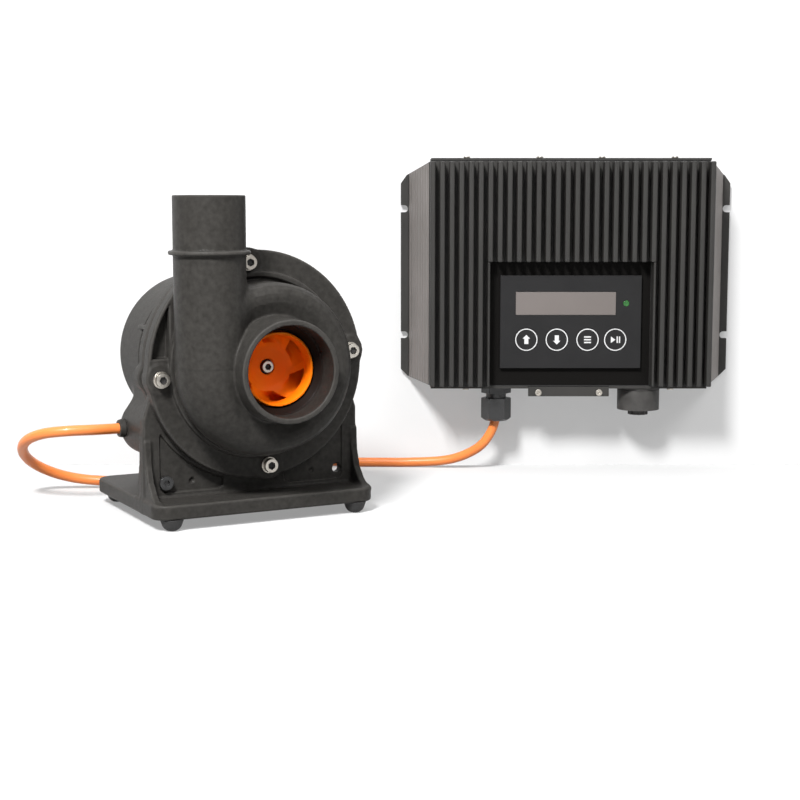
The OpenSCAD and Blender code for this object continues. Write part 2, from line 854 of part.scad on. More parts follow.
module status_lamp() {
    color("limegreen") at_ctrl() translate([lamp_x, 0, window_z])
        peg(lamp_r, floor_d + eps, panel_front + 0.5);
}

module control_board() {
    half_w = recess_w / 2 + 5;
    color("darkgreen") at_ctrl()
        span([-half_w, -board_d + eps, board_low], [half_w, -board_d + 1.6, recess_h - 5]);
}

module power_board() {
    half_w = fin_w / 2 - 12.5;
    color("darkgreen") at_ctrl()
        span([-half_w, -body_wall - 1.7, board_low], [half_w, -body_wall - eps, body_h - board_low]);
}

module capacitors() {
    color("navy") at_ctrl() for (x = capacitor_x) translate([x, 0, body_h - bank_drop])
        peg(capacitor_r, body_wall + 1.75, board_d - 4);
}

module inductor() {
    color("goldenrod") at_ctrl() translate([choke_x, -body_wall - 1.75 - choke_wire_r, body_h - bank_drop])
        rotate([90, 0, 0]) rotate_extrude() translate([choke_r, 0]) circle(r = choke_wire_r, $fn = 32);
}

module at_gland() {
    at_ctrl() translate([gland_x, -gland_d, 0]) children();
}

gland_low = low_z - gland_len;

module gland_body() {
    color("#2b2b2c") at_gland() difference() {
        union() {
            rod(8, low_z - 1, 6);
            hex_rod(gland_af, low_z - 5.7, low_z - eps);
            rod(8.5, gland_low + 7, low_z - 5);
        }
        rod(lead_r + hole_slack, gland_low, 8);
    }
}

module gland_locknut() {
    color("#2b2b2c") at_gland() difference() {
        hex_rod(gland_af, low_z + plate_t + eps, low_z + plate_t + 5);
        rod(8 + screw_gap, -5, 9);
    }
}

module gland_seal() {
    color("black") at_gland() difference() {
        rod(8, gland_low + 3.1, gland_low + 6.9);
        rod(lead_r + screw_gap, gland_low, 0);
    }
}

module gland_nut() {
    top = low_z - 9.8;
    color("#2b2b2c") at_gland() difference() {
        intersection() {
            hex_rod(gland_af, gland_low, top);
            translate([0, 0, gland_low]) cylinder(r1 = gland_af * 0.44, r2 = gland_af * 0.44 + 40, h = 30);
            translate([0, 0, top - 30]) cylinder(r1 = gland_af * 0.55 + 30, r2 = gland_af * 0.55, h = 30);
        }
        rod(lead_r + hole_slack, gland_low - 1, top);
        rod(8.5 + slip, gland_low + 3, top + 1);
    }
}

module at_inlet() {
    at_ctrl() translate([inlet_x, -gland_d, 0]) children();
}

inlet_low = low_z - 15.6;
cap_top = low_z - 2.4;
cap_low = cap_top - cap_h;
lug_z = low_z - 9;
pin_r = 1.5;

module at_pins() {
    for (a = [90, 210, 330]) rotate([0, 0, a]) translate([6, 0, 0]) children();
}

module mains_inlet() {
    color("#2b2b2c") at_inlet() difference() {
        union() {
            rod(18, low_z - 2, low_z - eps);
            rod(14, inlet_low, low_z - 1);
            rod(10, low_z - 1, 8);
            translate([0, 0, lug_z]) rotate([0, 90, 0]) rod(1.4, 12, lug_r);
        }
        rod(11, inlet_low - 1, low_z - 5);
        at_pins() rod(pin_r + screw_gap, low_z - 6, 9);
    }
}

module inlet_pins() {
    color("gold") at_inlet() at_pins() rod(pin_r, inlet_low + 3, 12);
}

// the cap slips over the inlet and locks on its lug with part of a turn
module inlet_cap() {
    color("#2b2b2c") at_inlet() difference() {
        union() {
            rod(cap_r, cap_low, cap_top);
            rod(7.8, cap_low - 4.5, cap_low + 1);
            for (a = [0:30:330]) rotate([0, 0, a]) translate([7.8, 0, 0]) rod(0.7, cap_low - 4.5, cap_low);
        }
        rod(14 + hole_slack, inlet_low - 0.6, cap_top + 1);
        translate([0, 0, lug_z - 1.8]) rotate([0, 0, -7]) rotate_extrude(angle = cap_turn + 14)
            translate([13, 0]) square([8, 3.6]);
        translate([0, 0, lug_z - 1.8]) rotate([0, 0, cap_turn - 7]) rotate_extrude(angle = 14)
            translate([13, 0]) square([8, 20]);
    }
}

// the lead, in three stretches: from the pump to the coil, the coil, and from the coil to the gland
function pump_point(x, y, z) = [pump_x + x * cos(pump_yaw) - y * sin(pump_yaw),
    pump_y + x * sin(pump_yaw) + y * cos(pump_yaw), z];
lie = lead_r + 1.6;
floor_lie = lead_r + 0.1;
coil_gap = 0.6;
coil_pitch = lead_d + coil_gap;
coil_mid_r = 44;
coil_tuck = 1.4;
coil_turns = 1.875;
coil_loops = 2 * coil_turns + 0.5;
coil_rings = 24;
coil_out_r = coil_mid_r + coil_pitch * coil_turns / 2;
coil_c = [-185, 91];
// turns in on the floor, climbs through half a turn, turns out again on top
function coil_r(t) = t < coil_turns ? coil_out_r - coil_pitch * t
    : t < coil_turns + 0.5 ? coil_out_r - coil_pitch * coil_turns - coil_tuck * sin(360 * (t - coil_turns))
    : coil_out_r - coil_pitch * (coil_loops - t);
function coil_z(t) = lie + coil_pitch * max(0, min(1, (t - coil_turns) / 0.5));
coil_line = [for (i = [0:coil_loops * coil_rings]) let (t = i / coil_rings, a = 360 * t - 90)
    [coil_c[0] + coil_r(t) * cos(a), coil_c[1] + coil_r(t) * sin(a), coil_z(t)]];
coil_start = coil_line[0];
coil_end = coil_line[len(coil_line) - 1];
// least clear distance between stretches of the coil more than half a loop apart
coil_self_gap = min([for (i = [0:len(coil_line) - 1], j = [i + coil_rings / 2:len(coil_line) - 1])
    norm(coil_line[i] - coil_line[j])]) - lead_d;
echo(coil_self_gap = coil_self_gap);

gland_spot = [ctrl_x + gland_x, wall_y - gland_d, ctrl_z];
pump_route = smooth(concat(
    [pump_point(-56, lead_y, lead_h), pump_point(-74, lead_y, lead_h),
     pump_point(-92, lead_y, lead_h + 0.2)],
    [[-275.5, -42.3, 58], [-293.5, -39, 55.5], [-307.5, -28.5, 49.5], [-315.5, -13, 40.5], [-316.2, 4.5, 30],
     [-309.5, 20.5, 20], [-296, 31.8, 12], [-278, 37.4, 7.4], [-256, coil_start[1], 5.8],
     [-230, coil_start[1], lie], [-207, coil_start[1], lie]], [coil_start]), 4);
ctrl_route = smooth(concat([coil_end],
    [[coil_end[0], 105, coil_end[2]], [coil_end[0] + 5.5, 122.5, 12.4], [coil_end[0] + 19, 136.2, 8.8],
     [coil_end[0] + 38, 142, 5.7], [-72, 142.4, floor_lie + 0.15],
     [-45, 142, floor_lie], [-15, 141, floor_lie + 0.25], [gland_spot[0] - 42, 136, 7],
     [gland_spot[0] - 24, 130, 13.5]],
    [gland_spot + [-11, 3, -53], gland_spot + [-3, 0.8, -40], gland_spot + [0, 0, -27],
     gland_spot + [0, 0, -14], gland_spot + [0, 0, 7]]), 4);

module lead_pump() {
    color("darkorange") tube(pump_route, lead_r, 10, [0, 0, 1]);
}

module lead_coil() {
    color("darkorange") tube(coil_line, lead_r, 6, [0, 0, 1]);
}

module lead_controller() {
    color("darkorange") tube(ctrl_route, lead_r, 10, unit([-1, -1, 1]));
}

// strap round the coil's bundle
module coil_tie() {
    inner = coil_out_r - coil_pitch * coil_turns - lead_r - 0.8;
    outer = coil_out_r + lead_r + 0.8;
    low = lie - lead_r - 0.3;
    high = lie + coil_pitch + lead_r + 0.3;
    color("black") translate([coil_c[0], coil_c[1], 0]) rotate([0, 0, 150]) difference() {
        span([inner - 1.2, -5, low - 1.1], [outer + 1.2, 5, high + 1.1]);
        span([inner, -6, low], [outer, 6, high]);
    }
}

volute_casing();
casing_seal();
casing_screws();
impeller();
impeller_washer();
impeller_screw();
shaft();
rotor_magnet();
front_bearing();
rear_bearing();
rotor_can();
stator_core();
stator_windings();
potting_resin();
motor_housing();
lead_bush();
stand_bracket();
stand_screw();
rubber_feet();
foot_screws();
heatsink_housing();
heatsink_fins();
top_gasket();
bottom_gasket();
top_plate();
bottom_plate();
plate_screws();
keypad_panel();
key_up();
key_down();
key_menu();
key_run();
display_window();
display_module();
status_lamp();
control_board();
power_board();
capacitors();
inductor();
gland_body();
gland_locknut();
gland_seal();
gland_nut();
service_cover();
service_gasket();
service_screws();
mains_inlet();
inlet_pins();
inlet_cap();
lead_pump();
lead_coil();
lead_controller();
coil_tie();
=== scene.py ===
"""Looks of a wave maker pump, its wall controller and their lead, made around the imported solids."""
import json
import math

import bpy
import numpy as np
from mathutils import Matrix, Vector


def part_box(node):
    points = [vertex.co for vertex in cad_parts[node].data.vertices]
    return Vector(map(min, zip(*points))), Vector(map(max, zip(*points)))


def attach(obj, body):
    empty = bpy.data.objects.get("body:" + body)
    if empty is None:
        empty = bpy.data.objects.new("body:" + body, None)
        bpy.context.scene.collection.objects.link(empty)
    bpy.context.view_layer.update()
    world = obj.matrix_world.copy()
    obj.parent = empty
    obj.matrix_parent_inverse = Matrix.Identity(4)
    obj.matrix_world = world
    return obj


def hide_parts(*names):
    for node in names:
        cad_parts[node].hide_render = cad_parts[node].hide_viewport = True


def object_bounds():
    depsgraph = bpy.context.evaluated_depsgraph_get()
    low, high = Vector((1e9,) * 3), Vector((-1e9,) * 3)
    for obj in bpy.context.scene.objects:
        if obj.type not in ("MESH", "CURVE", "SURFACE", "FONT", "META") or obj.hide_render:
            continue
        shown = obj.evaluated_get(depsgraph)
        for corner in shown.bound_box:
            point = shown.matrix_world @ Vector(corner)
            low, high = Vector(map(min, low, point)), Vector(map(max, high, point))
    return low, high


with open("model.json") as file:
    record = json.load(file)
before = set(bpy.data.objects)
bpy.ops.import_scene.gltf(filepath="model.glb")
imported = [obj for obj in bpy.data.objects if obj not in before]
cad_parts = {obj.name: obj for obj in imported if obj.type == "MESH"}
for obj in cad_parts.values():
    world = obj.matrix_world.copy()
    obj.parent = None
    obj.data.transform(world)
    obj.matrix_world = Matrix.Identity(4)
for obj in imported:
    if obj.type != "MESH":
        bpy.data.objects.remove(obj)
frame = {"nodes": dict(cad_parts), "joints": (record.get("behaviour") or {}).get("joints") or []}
cad_low, cad_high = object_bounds()
nodes = frame["nodes"]
MM = 0.001

# Places taken from the frame
spin = next(j for j in frame["joints"] if j["name"] == "impeller_spin")
SHAFT = Vector(spin["pos_m"])
FORWARD = Vector(spin["axis"])
UP = Vector((0, 0, 1))
RIGHT = UP.cross(FORWARD)
AXIS_H = SHAFT.z / MM
# Shaft frame in millimetres: x right, y up, z forward of the flange face
SHAFT_TURN = Matrix((RIGHT, UP, FORWARD)).transposed().to_4x4()
ON_SHAFT = Matrix.Translation(SHAFT) @ SHAFT_TURN @ Matrix.Scale(MM, 4)
body_low, body_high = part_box("heatsink_housing")
# Controller frame in millimetres: x right, y depth off the wall, z up from the body's underside
CTRL_ORIGIN = Vector(((body_low.x + body_high.x) / 2, body_high.y, body_low.z))
ON_CTRL = Matrix.Translation(CTRL_ORIGIN) @ Matrix.Diagonal((MM, -MM, MM, 1))

# Camera and stage
CAMERA_AT = Vector((-0.0262, -1.187, 0.224))
CAMERA_DOWN = math.radians(7.1)
FOCAL_PX = 1550
FRAME_PX = 800
SENSOR_MM = 36
STAGE_HALF = 3.0
# How much light the stage throws back, and shows to the camera
STAGE_BOUNCE = 0.3
STAGE_SEEN = 0.51
# The stage's own glow, and the distances from the origin between which it grows to full white
STAGE_GLOW = 0.3
GLOW_NEAR = 0.42
GLOW_FAR = 0.85
WORLD_LIGHT = 0.22


def make_camera():
    data = bpy.data.cameras.new("camera")
    data.sensor_width = SENSOR_MM
    data.lens = SENSOR_MM * FOCAL_PX / FRAME_PX
    camera = bpy.data.objects.new("camera", data)
    camera.location = CAMERA_AT
    camera.rotation_euler = (math.pi / 2 - CAMERA_DOWN, 0, 0)
    bpy.context.scene.collection.objects.link(camera)
    bpy.context.scene.camera = camera


# Materials
# Where the noise texture's values mostly lie
NOISE_LOW, NOISE_HIGH = 0.3, 0.7
# Pointiness over which a sharp edge turns paler, part wear and part painted highlight
EDGE_LOW, EDGE_HIGH = 0.52, 0.60
GLOSS_DRIFT = 0.07


def new_material(name):
    material = bpy.data.materials.new(name)
    material.use_nodes = True
    tree = material.node_tree
    return material, tree, tree.nodes["Principled BSDF"]


def noise_at(tree, scale, detail=4.0, stretch=(1, 1, 1)):
    """Noise in the object's own metres, stretched along an axis where asked."""
    coordinates = tree.nodes.new("ShaderNodeTexCoord")
    mapping = tree.nodes.new("ShaderNodeMapping")
    mapping.inputs["Scale"].default_value = stretch
    texture = tree.nodes.new("ShaderNodeTexNoise")
    texture.inputs["Scale"].default_value = scale
    texture.inputs["Detail"].default_value = detail
    tree.links.new(coordinates.outputs["Object"], mapping.inputs["Vector"])
    tree.links.new(mapping.outputs["Vector"], texture.inputs["Vector"])
    return texture.outputs["Fac"]


def blend_colours(tree, factor, first, second, low=NOISE_LOW, high=NOISE_HIGH):
    ramp = tree.nodes.new("ShaderNodeValToRGB")
    ramp.color_ramp.elements[0].position = low
    ramp.color_ramp.elements[0].color = (*first, 1)
    ramp.color_ramp.elements[1].position = high
    ramp.color_ramp.elements[1].color = (*second, 1)
    tree.links.new(factor, ramp.inputs["Fac"])
    return ramp.outputs["Color"]


def remap(tree, value, low, high, start=0.0, end=1.0):
    """Turns a value between start and end into one between low and high."""
    node = tree.nodes.new("ShaderNodeMapRange")
    node.inputs["From Min"].default_value = start
    node.inputs["From Max"].default_value = end
    node.inputs["To Min"].default_value = low
    node.inputs["To Max"].default_value = high
    tree.links.new(value, node.inputs["Value"])
    return node.outputs["Result"]


def tint(tree, factor, base, colour):
    """The base colour, turned to another where the factor is one."""
    mix = tree.nodes.new("ShaderNodeMix")
    mix.data_type = "RGBA"
    mix.inputs["B"].default_value = (*colour, 1)
    tree.links.new(factor, mix.inputs["Factor"])
    tree.links.new(base, mix.inputs["A"])
    return mix.outputs["Result"]


def seen_by(tree, *rays):
    """One for the two kinds of ray that are named, and zero for others."""
    path = tree.nodes.new("ShaderNodeLightPath")
    seen = tree.nodes.new("ShaderNodeMath")
    seen.operation = "MAXIMUM"
    for socket, ray in zip(seen.inputs, rays):
        tree.links.new(path.outputs[ray], socket)
    return seen.outputs["Value"]


def bump(tree, shader, height, strength, distance):
    node = tree.nodes.new("ShaderNodeBump")
    node.inputs["Strength"].default_value = strength
    node.inputs["Distance"].default_value = distance
    tree.links.new(height, node.inputs["Height"])
    tree.links.new(node.outputs["Normal"], shader.inputs["Normal"])


def speckled(name, dark, light, rough, grain, bump_depth, metallic=0.0, stretch=(1, 1, 1), cloud=45.0,
             edge_wear_and_highlight=None, sheen=0.5):
    """A surface whose colour drifts between two shades, with a fine grain in its gloss and relief."""
    material, tree, shader = new_material(name)
    drift = noise_at(tree, cloud, 6.0)
    fine = noise_at(tree, grain, 3.0, stretch)
    colour = blend_colours(tree, drift, dark, light)
    # Sharp edges turn paler: part wear, part painted highlight
    if edge_wear_and_highlight:
        geometry = tree.nodes.new("ShaderNodeNewGeometry")
        pointed = geometry.outputs["Pointiness"]
        edge = blend_colours(tree, pointed, (0, 0, 0), (1, 1, 1), EDGE_LOW, EDGE_HIGH)
        colour = tint(tree, edge, colour, edge_wear_and_highlight)
    gloss = remap(tree, fine, rough - GLOSS_DRIFT, rough + GLOSS_DRIFT, NOISE_LOW, NOISE_HIGH)
    tree.links.new(colour, shader.inputs["Base Color"])
    tree.links.new(gloss, shader.inputs["Roughness"])
    shader.inputs["Metallic"].default_value = metallic
    shader.inputs["Specular IOR Level"].default_value = sheen
    bump(tree, shader, fine, 0.35, bump_depth)
    return material


def coated(name, dark, light, rough, coat, grain=900.0, bump_depth=0.00002, cloud=30.0):
    material = speckled(name, dark, light, rough, grain, bump_depth, cloud=cloud)
    shader = material.node_tree.nodes["Principled BSDF"]
    shader.inputs["Coat Weight"].default_value = coat
    shader.inputs["Coat Roughness"].default_value = 0.12
    return material


def charcoal(name):
    # Paler sharp edges: part wear, part painted highlight
    return speckled(name, (0.026, 0.0243, 0.0222), (0.041, 0.0386, 0.0353), 0.46, 1400, 0.00008,
                    cloud=260.0, edge_wear_and_highlight=(0.075, 0.071, 0.066), sheen=0.1)


def anodised(name, dark=(0.030, 0.029, 0.027), light=(0.040, 0.038, 0.036), rough=0.46,
             bump_depth=0.00002, metallic=0.0, sheen=0.25):
    """Metal with a fine upright grain."""
    return speckled(name, dark, light, rough, 2600, bump_depth, metallic, stretch=(1, 1, 0.04), cloud=18.0,
                    sheen=sheen)


CHARCOAL = charcoal("charcoal_plastic")
ORANGE = speckled("orange_plastic", (0.90, 0.170, 0.002), (0.96, 0.205, 0.003), 0.5, 900, 0.00002,
                  cloud=30.0, sheen=0.15)
SHEATH = coated("lead_sheath", (0.80, 0.215, 0.05), (0.90, 0.26, 0.06), 0.42, 0.1, grain=1500)
STEEL = speckled("stainless_steel", (0.40, 0.37, 0.33), (0.54, 0.51, 0.46), 0.36, 1800, 0.00001,
                 metallic=1.0)
DARK_RUBBER_AND_SHADE = speckled("rubber", (0.014, 0.014, 0.014), (0.026, 0.025, 0.025), 0.72, 1600, 0.00005)
ANODISED = anodised("dark_anodised")
FIN_METAL = anodised("fin_anodised", (0.0245, 0.0235, 0.0221), (0.032, 0.0307, 0.0289), sheen=0.3)
ANODISED_SIDE = anodised("pale_anodised", (0.17, 0.155, 0.145), (0.22, 0.20, 0.19), 0.42, 0.00003,
                         metallic=0.55, sheen=0.5)
FILM = speckled("keypad_film", (0.0145, 0.0142, 0.0148), (0.0175, 0.0172, 0.0178), 0.55, 3000, 0.00001,
                sheen=0.15)
NYLON = speckled("black_nylon", (0.014, 0.014, 0.0145), (0.024, 0.024, 0.0245), 0.34, 1300, 0.00004,
                 cloud=120.0)
CAP_GREY = speckled("cap_plastic", (0.042, 0.040, 0.038), (0.066, 0.063, 0.060), 0.5, 1300, 0.00005,
                    cloud=120.0, sheen=0.3)
WHITE_INK = speckled("white_ink", (0.56, 0.56, 0.56), (0.66, 0.66, 0.66), 0.5, 2500, 0.000005)
DISPLAY = speckled("display_lens", (0.145, 0.128, 0.120), (0.167, 0.148, 0.140), 0.4, 900, 0.000002,
                   cloud=9.0, sheen=0.3)
BOARD = speckled("board", (0.012, 0.09, 0.03), (0.02, 0.14, 0.05), 0.4, 900, 0.00002)
COPPER = speckled("copper", (0.45, 0.18, 0.07), (0.6, 0.28, 0.12), 0.3, 900, 0.00003, metallic=1.0)
BRASS = speckled("brass", (0.60, 0.42, 0.17), (0.74, 0.54, 0.25), 0.28, 900, 0.00001, metallic=1.0)
IRON = speckled("iron", (0.10, 0.10, 0.105), (0.20, 0.20, 0.205), 0.5, 1200, 0.00004, metallic=0.9)
CERAMIC = coated("ceramic", (0.70, 0.68, 0.62), (0.78, 0.76, 0.70), 0.25, 0.3)
RESIN = coated("resin", (0.08, 0.065, 0.045), (0.14, 0.115, 0.08), 0.3, 0.3)
BLUE_SLEEVE = coated("blue_sleeve", (0.03, 0.04, 0.13), (0.05, 0.07, 0.2), 0.35, 0.2)
BEIGE = speckled("beige_plastic", (0.26, 0.24, 0.20), (0.34, 0.31, 0.27), 0.5, 1200, 0.00003)


def darken(material, mask, colour, gloss):
    """Turns the material to another colour and gloss where the mask is one."""
    tree = material.node_tree
    shader = tree.nodes["Principled BSDF"]
    base = shader.inputs["Base Color"]
    sheen = shader.inputs["Specular IOR Level"]
    tree.links.new(tint(tree, mask, base.links[0].from_socket, colour), base)
    tree.links.new(remap(tree, mask, sheen.default_value, gloss), sheen)


# Depth of the keypad recess's floor off the wall, and the band about it that takes painted shade, in
# millimetres
RECESS_D = 48.5
RECESS_BAND = 1.0
# Radii between which painted shade darkens the casing inside the inlet
INLET_SHADE_FROM, INLET_SHADE_TO = 32.2, 31.6


def housing_material():
    """Anodised, with painted shade darkening the floor of the keypad recess."""
    material = anodised("housing_anodised")
    tree = material.node_tree
    place = tree.nodes.new("ShaderNodeTexCoord")
    axes = tree.nodes.new("ShaderNodeSeparateXYZ")
    recess = tree.nodes.new("ShaderNodeMath")
    recess.operation = "COMPARE"
    recess.inputs[1].default_value = CTRL_ORIGIN.y - RECESS_D * MM
    recess.inputs[2].default_value = RECESS_BAND * MM
    tree.links.new(place.outputs["Object"], axes.inputs["Vector"])
    tree.links.new(axes.outputs["Y"], recess.inputs[0])
    # Painted shade on the recess floor: a near-black colour and little sheen
    darken(material, recess.outputs["Value"], (0.0066, 0.0061, 0.0057), 0.04)
    return material


def casing_material():
    """Charcoal plastic with painted shade inside the inlet, near the shaft's line: darker, browner and less
    glossy.
    """
    material = charcoal("casing_plastic")
    tree = material.node_tree
    place = tree.nodes.new("ShaderNodeTexCoord")
    steps = [tree.nodes.new("ShaderNodeVectorMath") for _ in range(3)]
    for node, operation in zip(steps, ("SUBTRACT", "CROSS_PRODUCT", "LENGTH")):
        node.operation = operation
    steps[0].inputs[1].default_value = SHAFT
    steps[1].inputs[1].default_value = FORWARD
    tree.links.new(place.outputs["Object"], steps[0].inputs[0])
    tree.links.new(steps[0].outputs["Vector"], steps[1].inputs[0])
    tree.links.new(steps[1].outputs["Vector"], steps[2].inputs[0])
    inside = remap(tree, steps[2].outputs["Value"], 0.0, 1.0, INLET_SHADE_FROM * MM, INLET_SHADE_TO * MM)
    # Painted shade inside the inlet: a dark brown colour and little sheen
    darken(material, inside, (0.011, 0.0068, 0.0055), 0.06)
    return material


HOUSING = housing_material()
CASING = casing_material()


def lamp_material():
    material, tree, shader = new_material("green_lamp")
    colour = blend_colours(tree, noise_at(tree, 700), (0.006, 0.06, 0.009), (0.026, 0.14, 0.026))
    tree.links.new(colour, shader.inputs["Base Color"])
    tree.links.new(colour, shader.inputs["Emission Color"])
    shader.inputs["Emission Strength"].default_value = 0.1
    shader.inputs["Roughness"].default_value = 0.2
    return material


LAMP = lamp_material()


# Pieces
WELD_REACH = 0.00002
FLAT_ANGLE = 0.5
SHARP_ANGLE = 35


def finish_piece(piece, material, body, replaces=()):
    piece.data.materials.clear()
    piece.data.materials.append(material)
    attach(piece, body)
    if replaces:
        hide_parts(*replaces)
    return piece


def mesh_piece(name, points, faces, material, body, slot=None, replaces=(), smooth=False, normals=None):
    mesh = bpy.data.meshes.new(name)
    mesh.from_pydata([tuple(p) for p in points], [], [tuple(f) for f in faces])
    mesh.polygons.foreach_set("use_smooth", [smooth] * len(mesh.polygons))
    if normals is not None:
        mesh.normals_split_custom_set_from_vertices([tuple(n) for n in normals])
    mesh.update()
    piece = bpy.data.objects.new(name, mesh)
    bpy.context.scene.collection.objects.link(piece)
    return finish_piece(piece, material, body, replaces)


def soften_edges(piece, width_mm, segments=2):
    """Rounds sharp edges and evens the shading of flat faces.

    Modifiers do it, so that a solid's own mesh keeps its points and faces.
    """
    weld = piece.modifiers.new("weld", "WELD")
    weld.merge_threshold = WELD_REACH
    flat = piece.modifiers.new("flat", "DECIMATE")
    flat.decimate_type = "DISSOLVE"
    flat.angle_limit = math.radians(FLAT_ANGLE)
    edge = piece.modifiers.new("edges", "BEVEL")
    edge.width = width_mm * MM
    edge.segments = segments
    edge.limit_method = "ANGLE"
    edge.angle_limit = math.radians(SHARP_ANGLE)
    shade = piece.modifiers.new("shade", "WEIGHTED_NORMAL")
    shade.mode = "FACE_AREA"
    shade.weight = 100
    for polygon in piece.data.polygons:
        polygon.use_smooth = True


def turned(point, matrix):
    return matrix @ Vector(point)


def prism(name, outline, low, high, place, material, body, **options):
    """A plate with the given outline in x and z, from depth low to depth high."""
    count = len(outline)
    points = [turned((x, d, z), place) for d in (low, high) for x, z in outline]
    ring = range(count)
    faces = [[k for k in ring], [count + k for k in reversed(ring)]]
    faces += [[k, count + k, count + (k + 1) % count, (k + 1) % count] for k in ring]
    return mesh_piece(name, points, faces, material, body, **options)


def ring_points(r, count, start=0.0):
    """Points around a circle, from a starting angle in degrees."""
    angles = [math.radians(start + 360 * i / count) for i in range(count)]
    return [(r * math.cos(a), r * math.sin(a)) for a in angles]


# Signed distances in millimetres, from which the moulded pieces are drawn with their fillets
def merge(a, b, k):
    h = np.clip(0.5 + 0.5 * (b - a) / k, 0, 1)
    return b * (1 - h) + a * h - k * h * (1 - h)


def merge_all(k, *parts):
    whole = parts[0]
    for part in parts[1:]:
        whole = merge(whole, part, k)
    return whole


def common(a, b, k):
    return -merge(-a, -b, k)


def carve(a, tool, k):
    return common(a, -tool, k)


def slab(v, low, high):
    return np.abs(v - (low + high) / 2) - (high - low) / 2


def corner(a, b, edge):
    """Where two extents meet, with a rounded edge."""
    a = a + edge
    b = b + edge
    return np.hypot(np.maximum(a, 0), np.maximum(b, 0)) + np.minimum(np.maximum(a, b), 0) - edge


def disc(u, v, w, r, low, high, edge):
    return corner(np.hypot(u, v) - r, slab(w, low, high), edge)


def block(u, v, w, low, high, edge):
    a, b, c = (slab(t, l, h) + edge for t, l, h in zip((u, v, w), low, high))
    out = np.sqrt(np.maximum(a, 0) ** 2 + np.maximum(b, 0) ** 2 + np.maximum(c, 0) ** 2)
    return out + np.minimum(np.maximum(a, np.maximum(b, c)), 0) - edge


def outline_distance(u, v, points):
    best = None
    inside = np.zeros(u.shape, bool)
    for (ax, ay), (bx, by) in zip(points, points[1:] + points[:1]):
        ex, ey = bx - ax, by - ay
        wx, wy = u - ax, v - ay
        t = np.clip((wx * ex + wy * ey) / (ex * ex + ey * ey), 0, 1)
        away = (wx - ex * t) ** 2 + (wy - ey * t) ** 2
        best = away if best is None else np.minimum(best, away)
        if ey:
            inside ^= ((ay <= v) != (by <= v)) & (u < ax + wy * ex / ey)
    return np.where(inside, -1, 1) * np.sqrt(best)


def plan_box(u, v, low, high, r):
    """A rectangle with round corners of radius r."""
    return corner(slab(u, low[0], high[0]), slab(v, low[1], high[1]), r)


def surface_nets(field, low, step):
    """Vertices and quads of the surface where the field is zero."""
    size = np.array(field.shape) - 1

    def shifted(offset):
        return field[tuple(slice(o, o + n) for o, n in zip(offset, size))]

    total = np.zeros((*size, 3), np.float32)
    count = np.zeros(size, np.float32)
    for axis in range(3):
        u, v = (axis + 1) % 3, (axis + 2) % 3
        for i in (0, 1):
            for j in (0, 1):
                start = [0, 0, 0]
                start[u], start[v] = i, j
                end = list(start)
                end[axis] = 1
                a, b = shifted(start), shifted(end)
                crossing = (a < 0) != (b < 0)
                share = np.where(crossing, a / np.where(crossing, a - b, 1), 0)
                total[..., u] += crossing * i
                total[..., v] += crossing * j
                total[..., axis] += share
                count += crossing
    active = count > 0
    index = np.full(size, -1)
    index[active] = np.arange(active.sum())
    points = np.array(low) + step * (np.argwhere(active) + total[active] / count[active][:, None])
    quads = []
    for axis in range(3):
        u, v = (axis + 1) % 3, (axis + 2) % 3
        window = [slice(1, n) for n in size]
        window[axis] = slice(0, size[axis])
        start = field[tuple(window)] < 0
        window[axis] = slice(1, size[axis] + 1)
        crossing = start != (field[tuple(window)] < 0)
        spots = np.argwhere(crossing)
        leaving = start[crossing]
        ring = []
        for du, dv in ((0, 0), (1, 0), (1, 1), (0, 1)):
            cell = spots.copy()
            cell[:, u] += 1 - du
            cell[:, v] += 1 - dv
            ring.append(index[tuple(cell.T)])
        quad = np.stack(ring, 1)
        quads.append(np.where(leaving[:, None], quad, quad[:, ::-1]))
    return points, np.concatenate(quads)


def slope(shape, points, reach=0.04):
    rows = []
    for axis in range(3):
        ahead, behind = points.copy(), points.copy()
        ahead[:, axis] += reach
        behind[:, axis] -= reach
        rows.append((shape(*ahead.T) - shape(*behind.T)) / (2 * reach))
    return np.stack(rows, 1)


def cast(name, shape, low, high, step, place, material, body, **options):
    """A moulded piece: the surface of a distance field, settled on its true zero."""
    axes = [np.arange(a, b + step, step) for a, b in zip(low, high)]
    grid = np.meshgrid(*axes, indexing="ij")
    points, quads = surface_nets(shape(*grid), low, step)
    for _ in range(3):
        away = slope(shape, points)
        move = shape(*points.T) / np.maximum((away ** 2).sum(1), 0.2)
        points = points - np.clip(move, -step / 2, step / 2)[:, None] * away
    away = slope(shape, points)
    away /= np.maximum(np.linalg.norm(away, axis=1), 1e-6)[:, None]
    matrix = np.array(place)
    spin_part = matrix[:3, :3] / MM
    if np.linalg.det(spin_part) < 0:
        quads = quads[:, ::-1]
    placed = points @ matrix[:3, :3].T + matrix[:3, 3]
    normals = away @ spin_part.T
    return mesh_piece(name, placed, quads.tolist(), material, body, smooth=True, normals=normals, **options)


# The lead, from the pump's bush through the coil behind the pump to the controller's gland
LEAD_D = 8.0
LEAD_LIE = LEAD_D / 2 + 1.6
LEAD_FLOOR = LEAD_D / 2 + 0.1
COIL_AT = (-185.0, 91.0)
COIL_PITCH = LEAD_D + 0.6
COIL_TURNS = 1.875
COIL_LOOPS = 2 * COIL_TURNS + 0.5
COIL_MID_R = 44.0
COIL_OUT_R = COIL_MID_R + COIL_PITCH * COIL_TURNS / 2
COIL_TUCK = 1.4
COIL_STEPS = 48
ROUTE_STEPS = 8
GLAND_AT = (CTRL_ORIGIN.x / MM - 59.5, CTRL_ORIGIN.y / MM - 30, CTRL_ORIGIN.z / MM)
LEAD_BACK = 100.0
LEAD_H = AXIS_H - 54


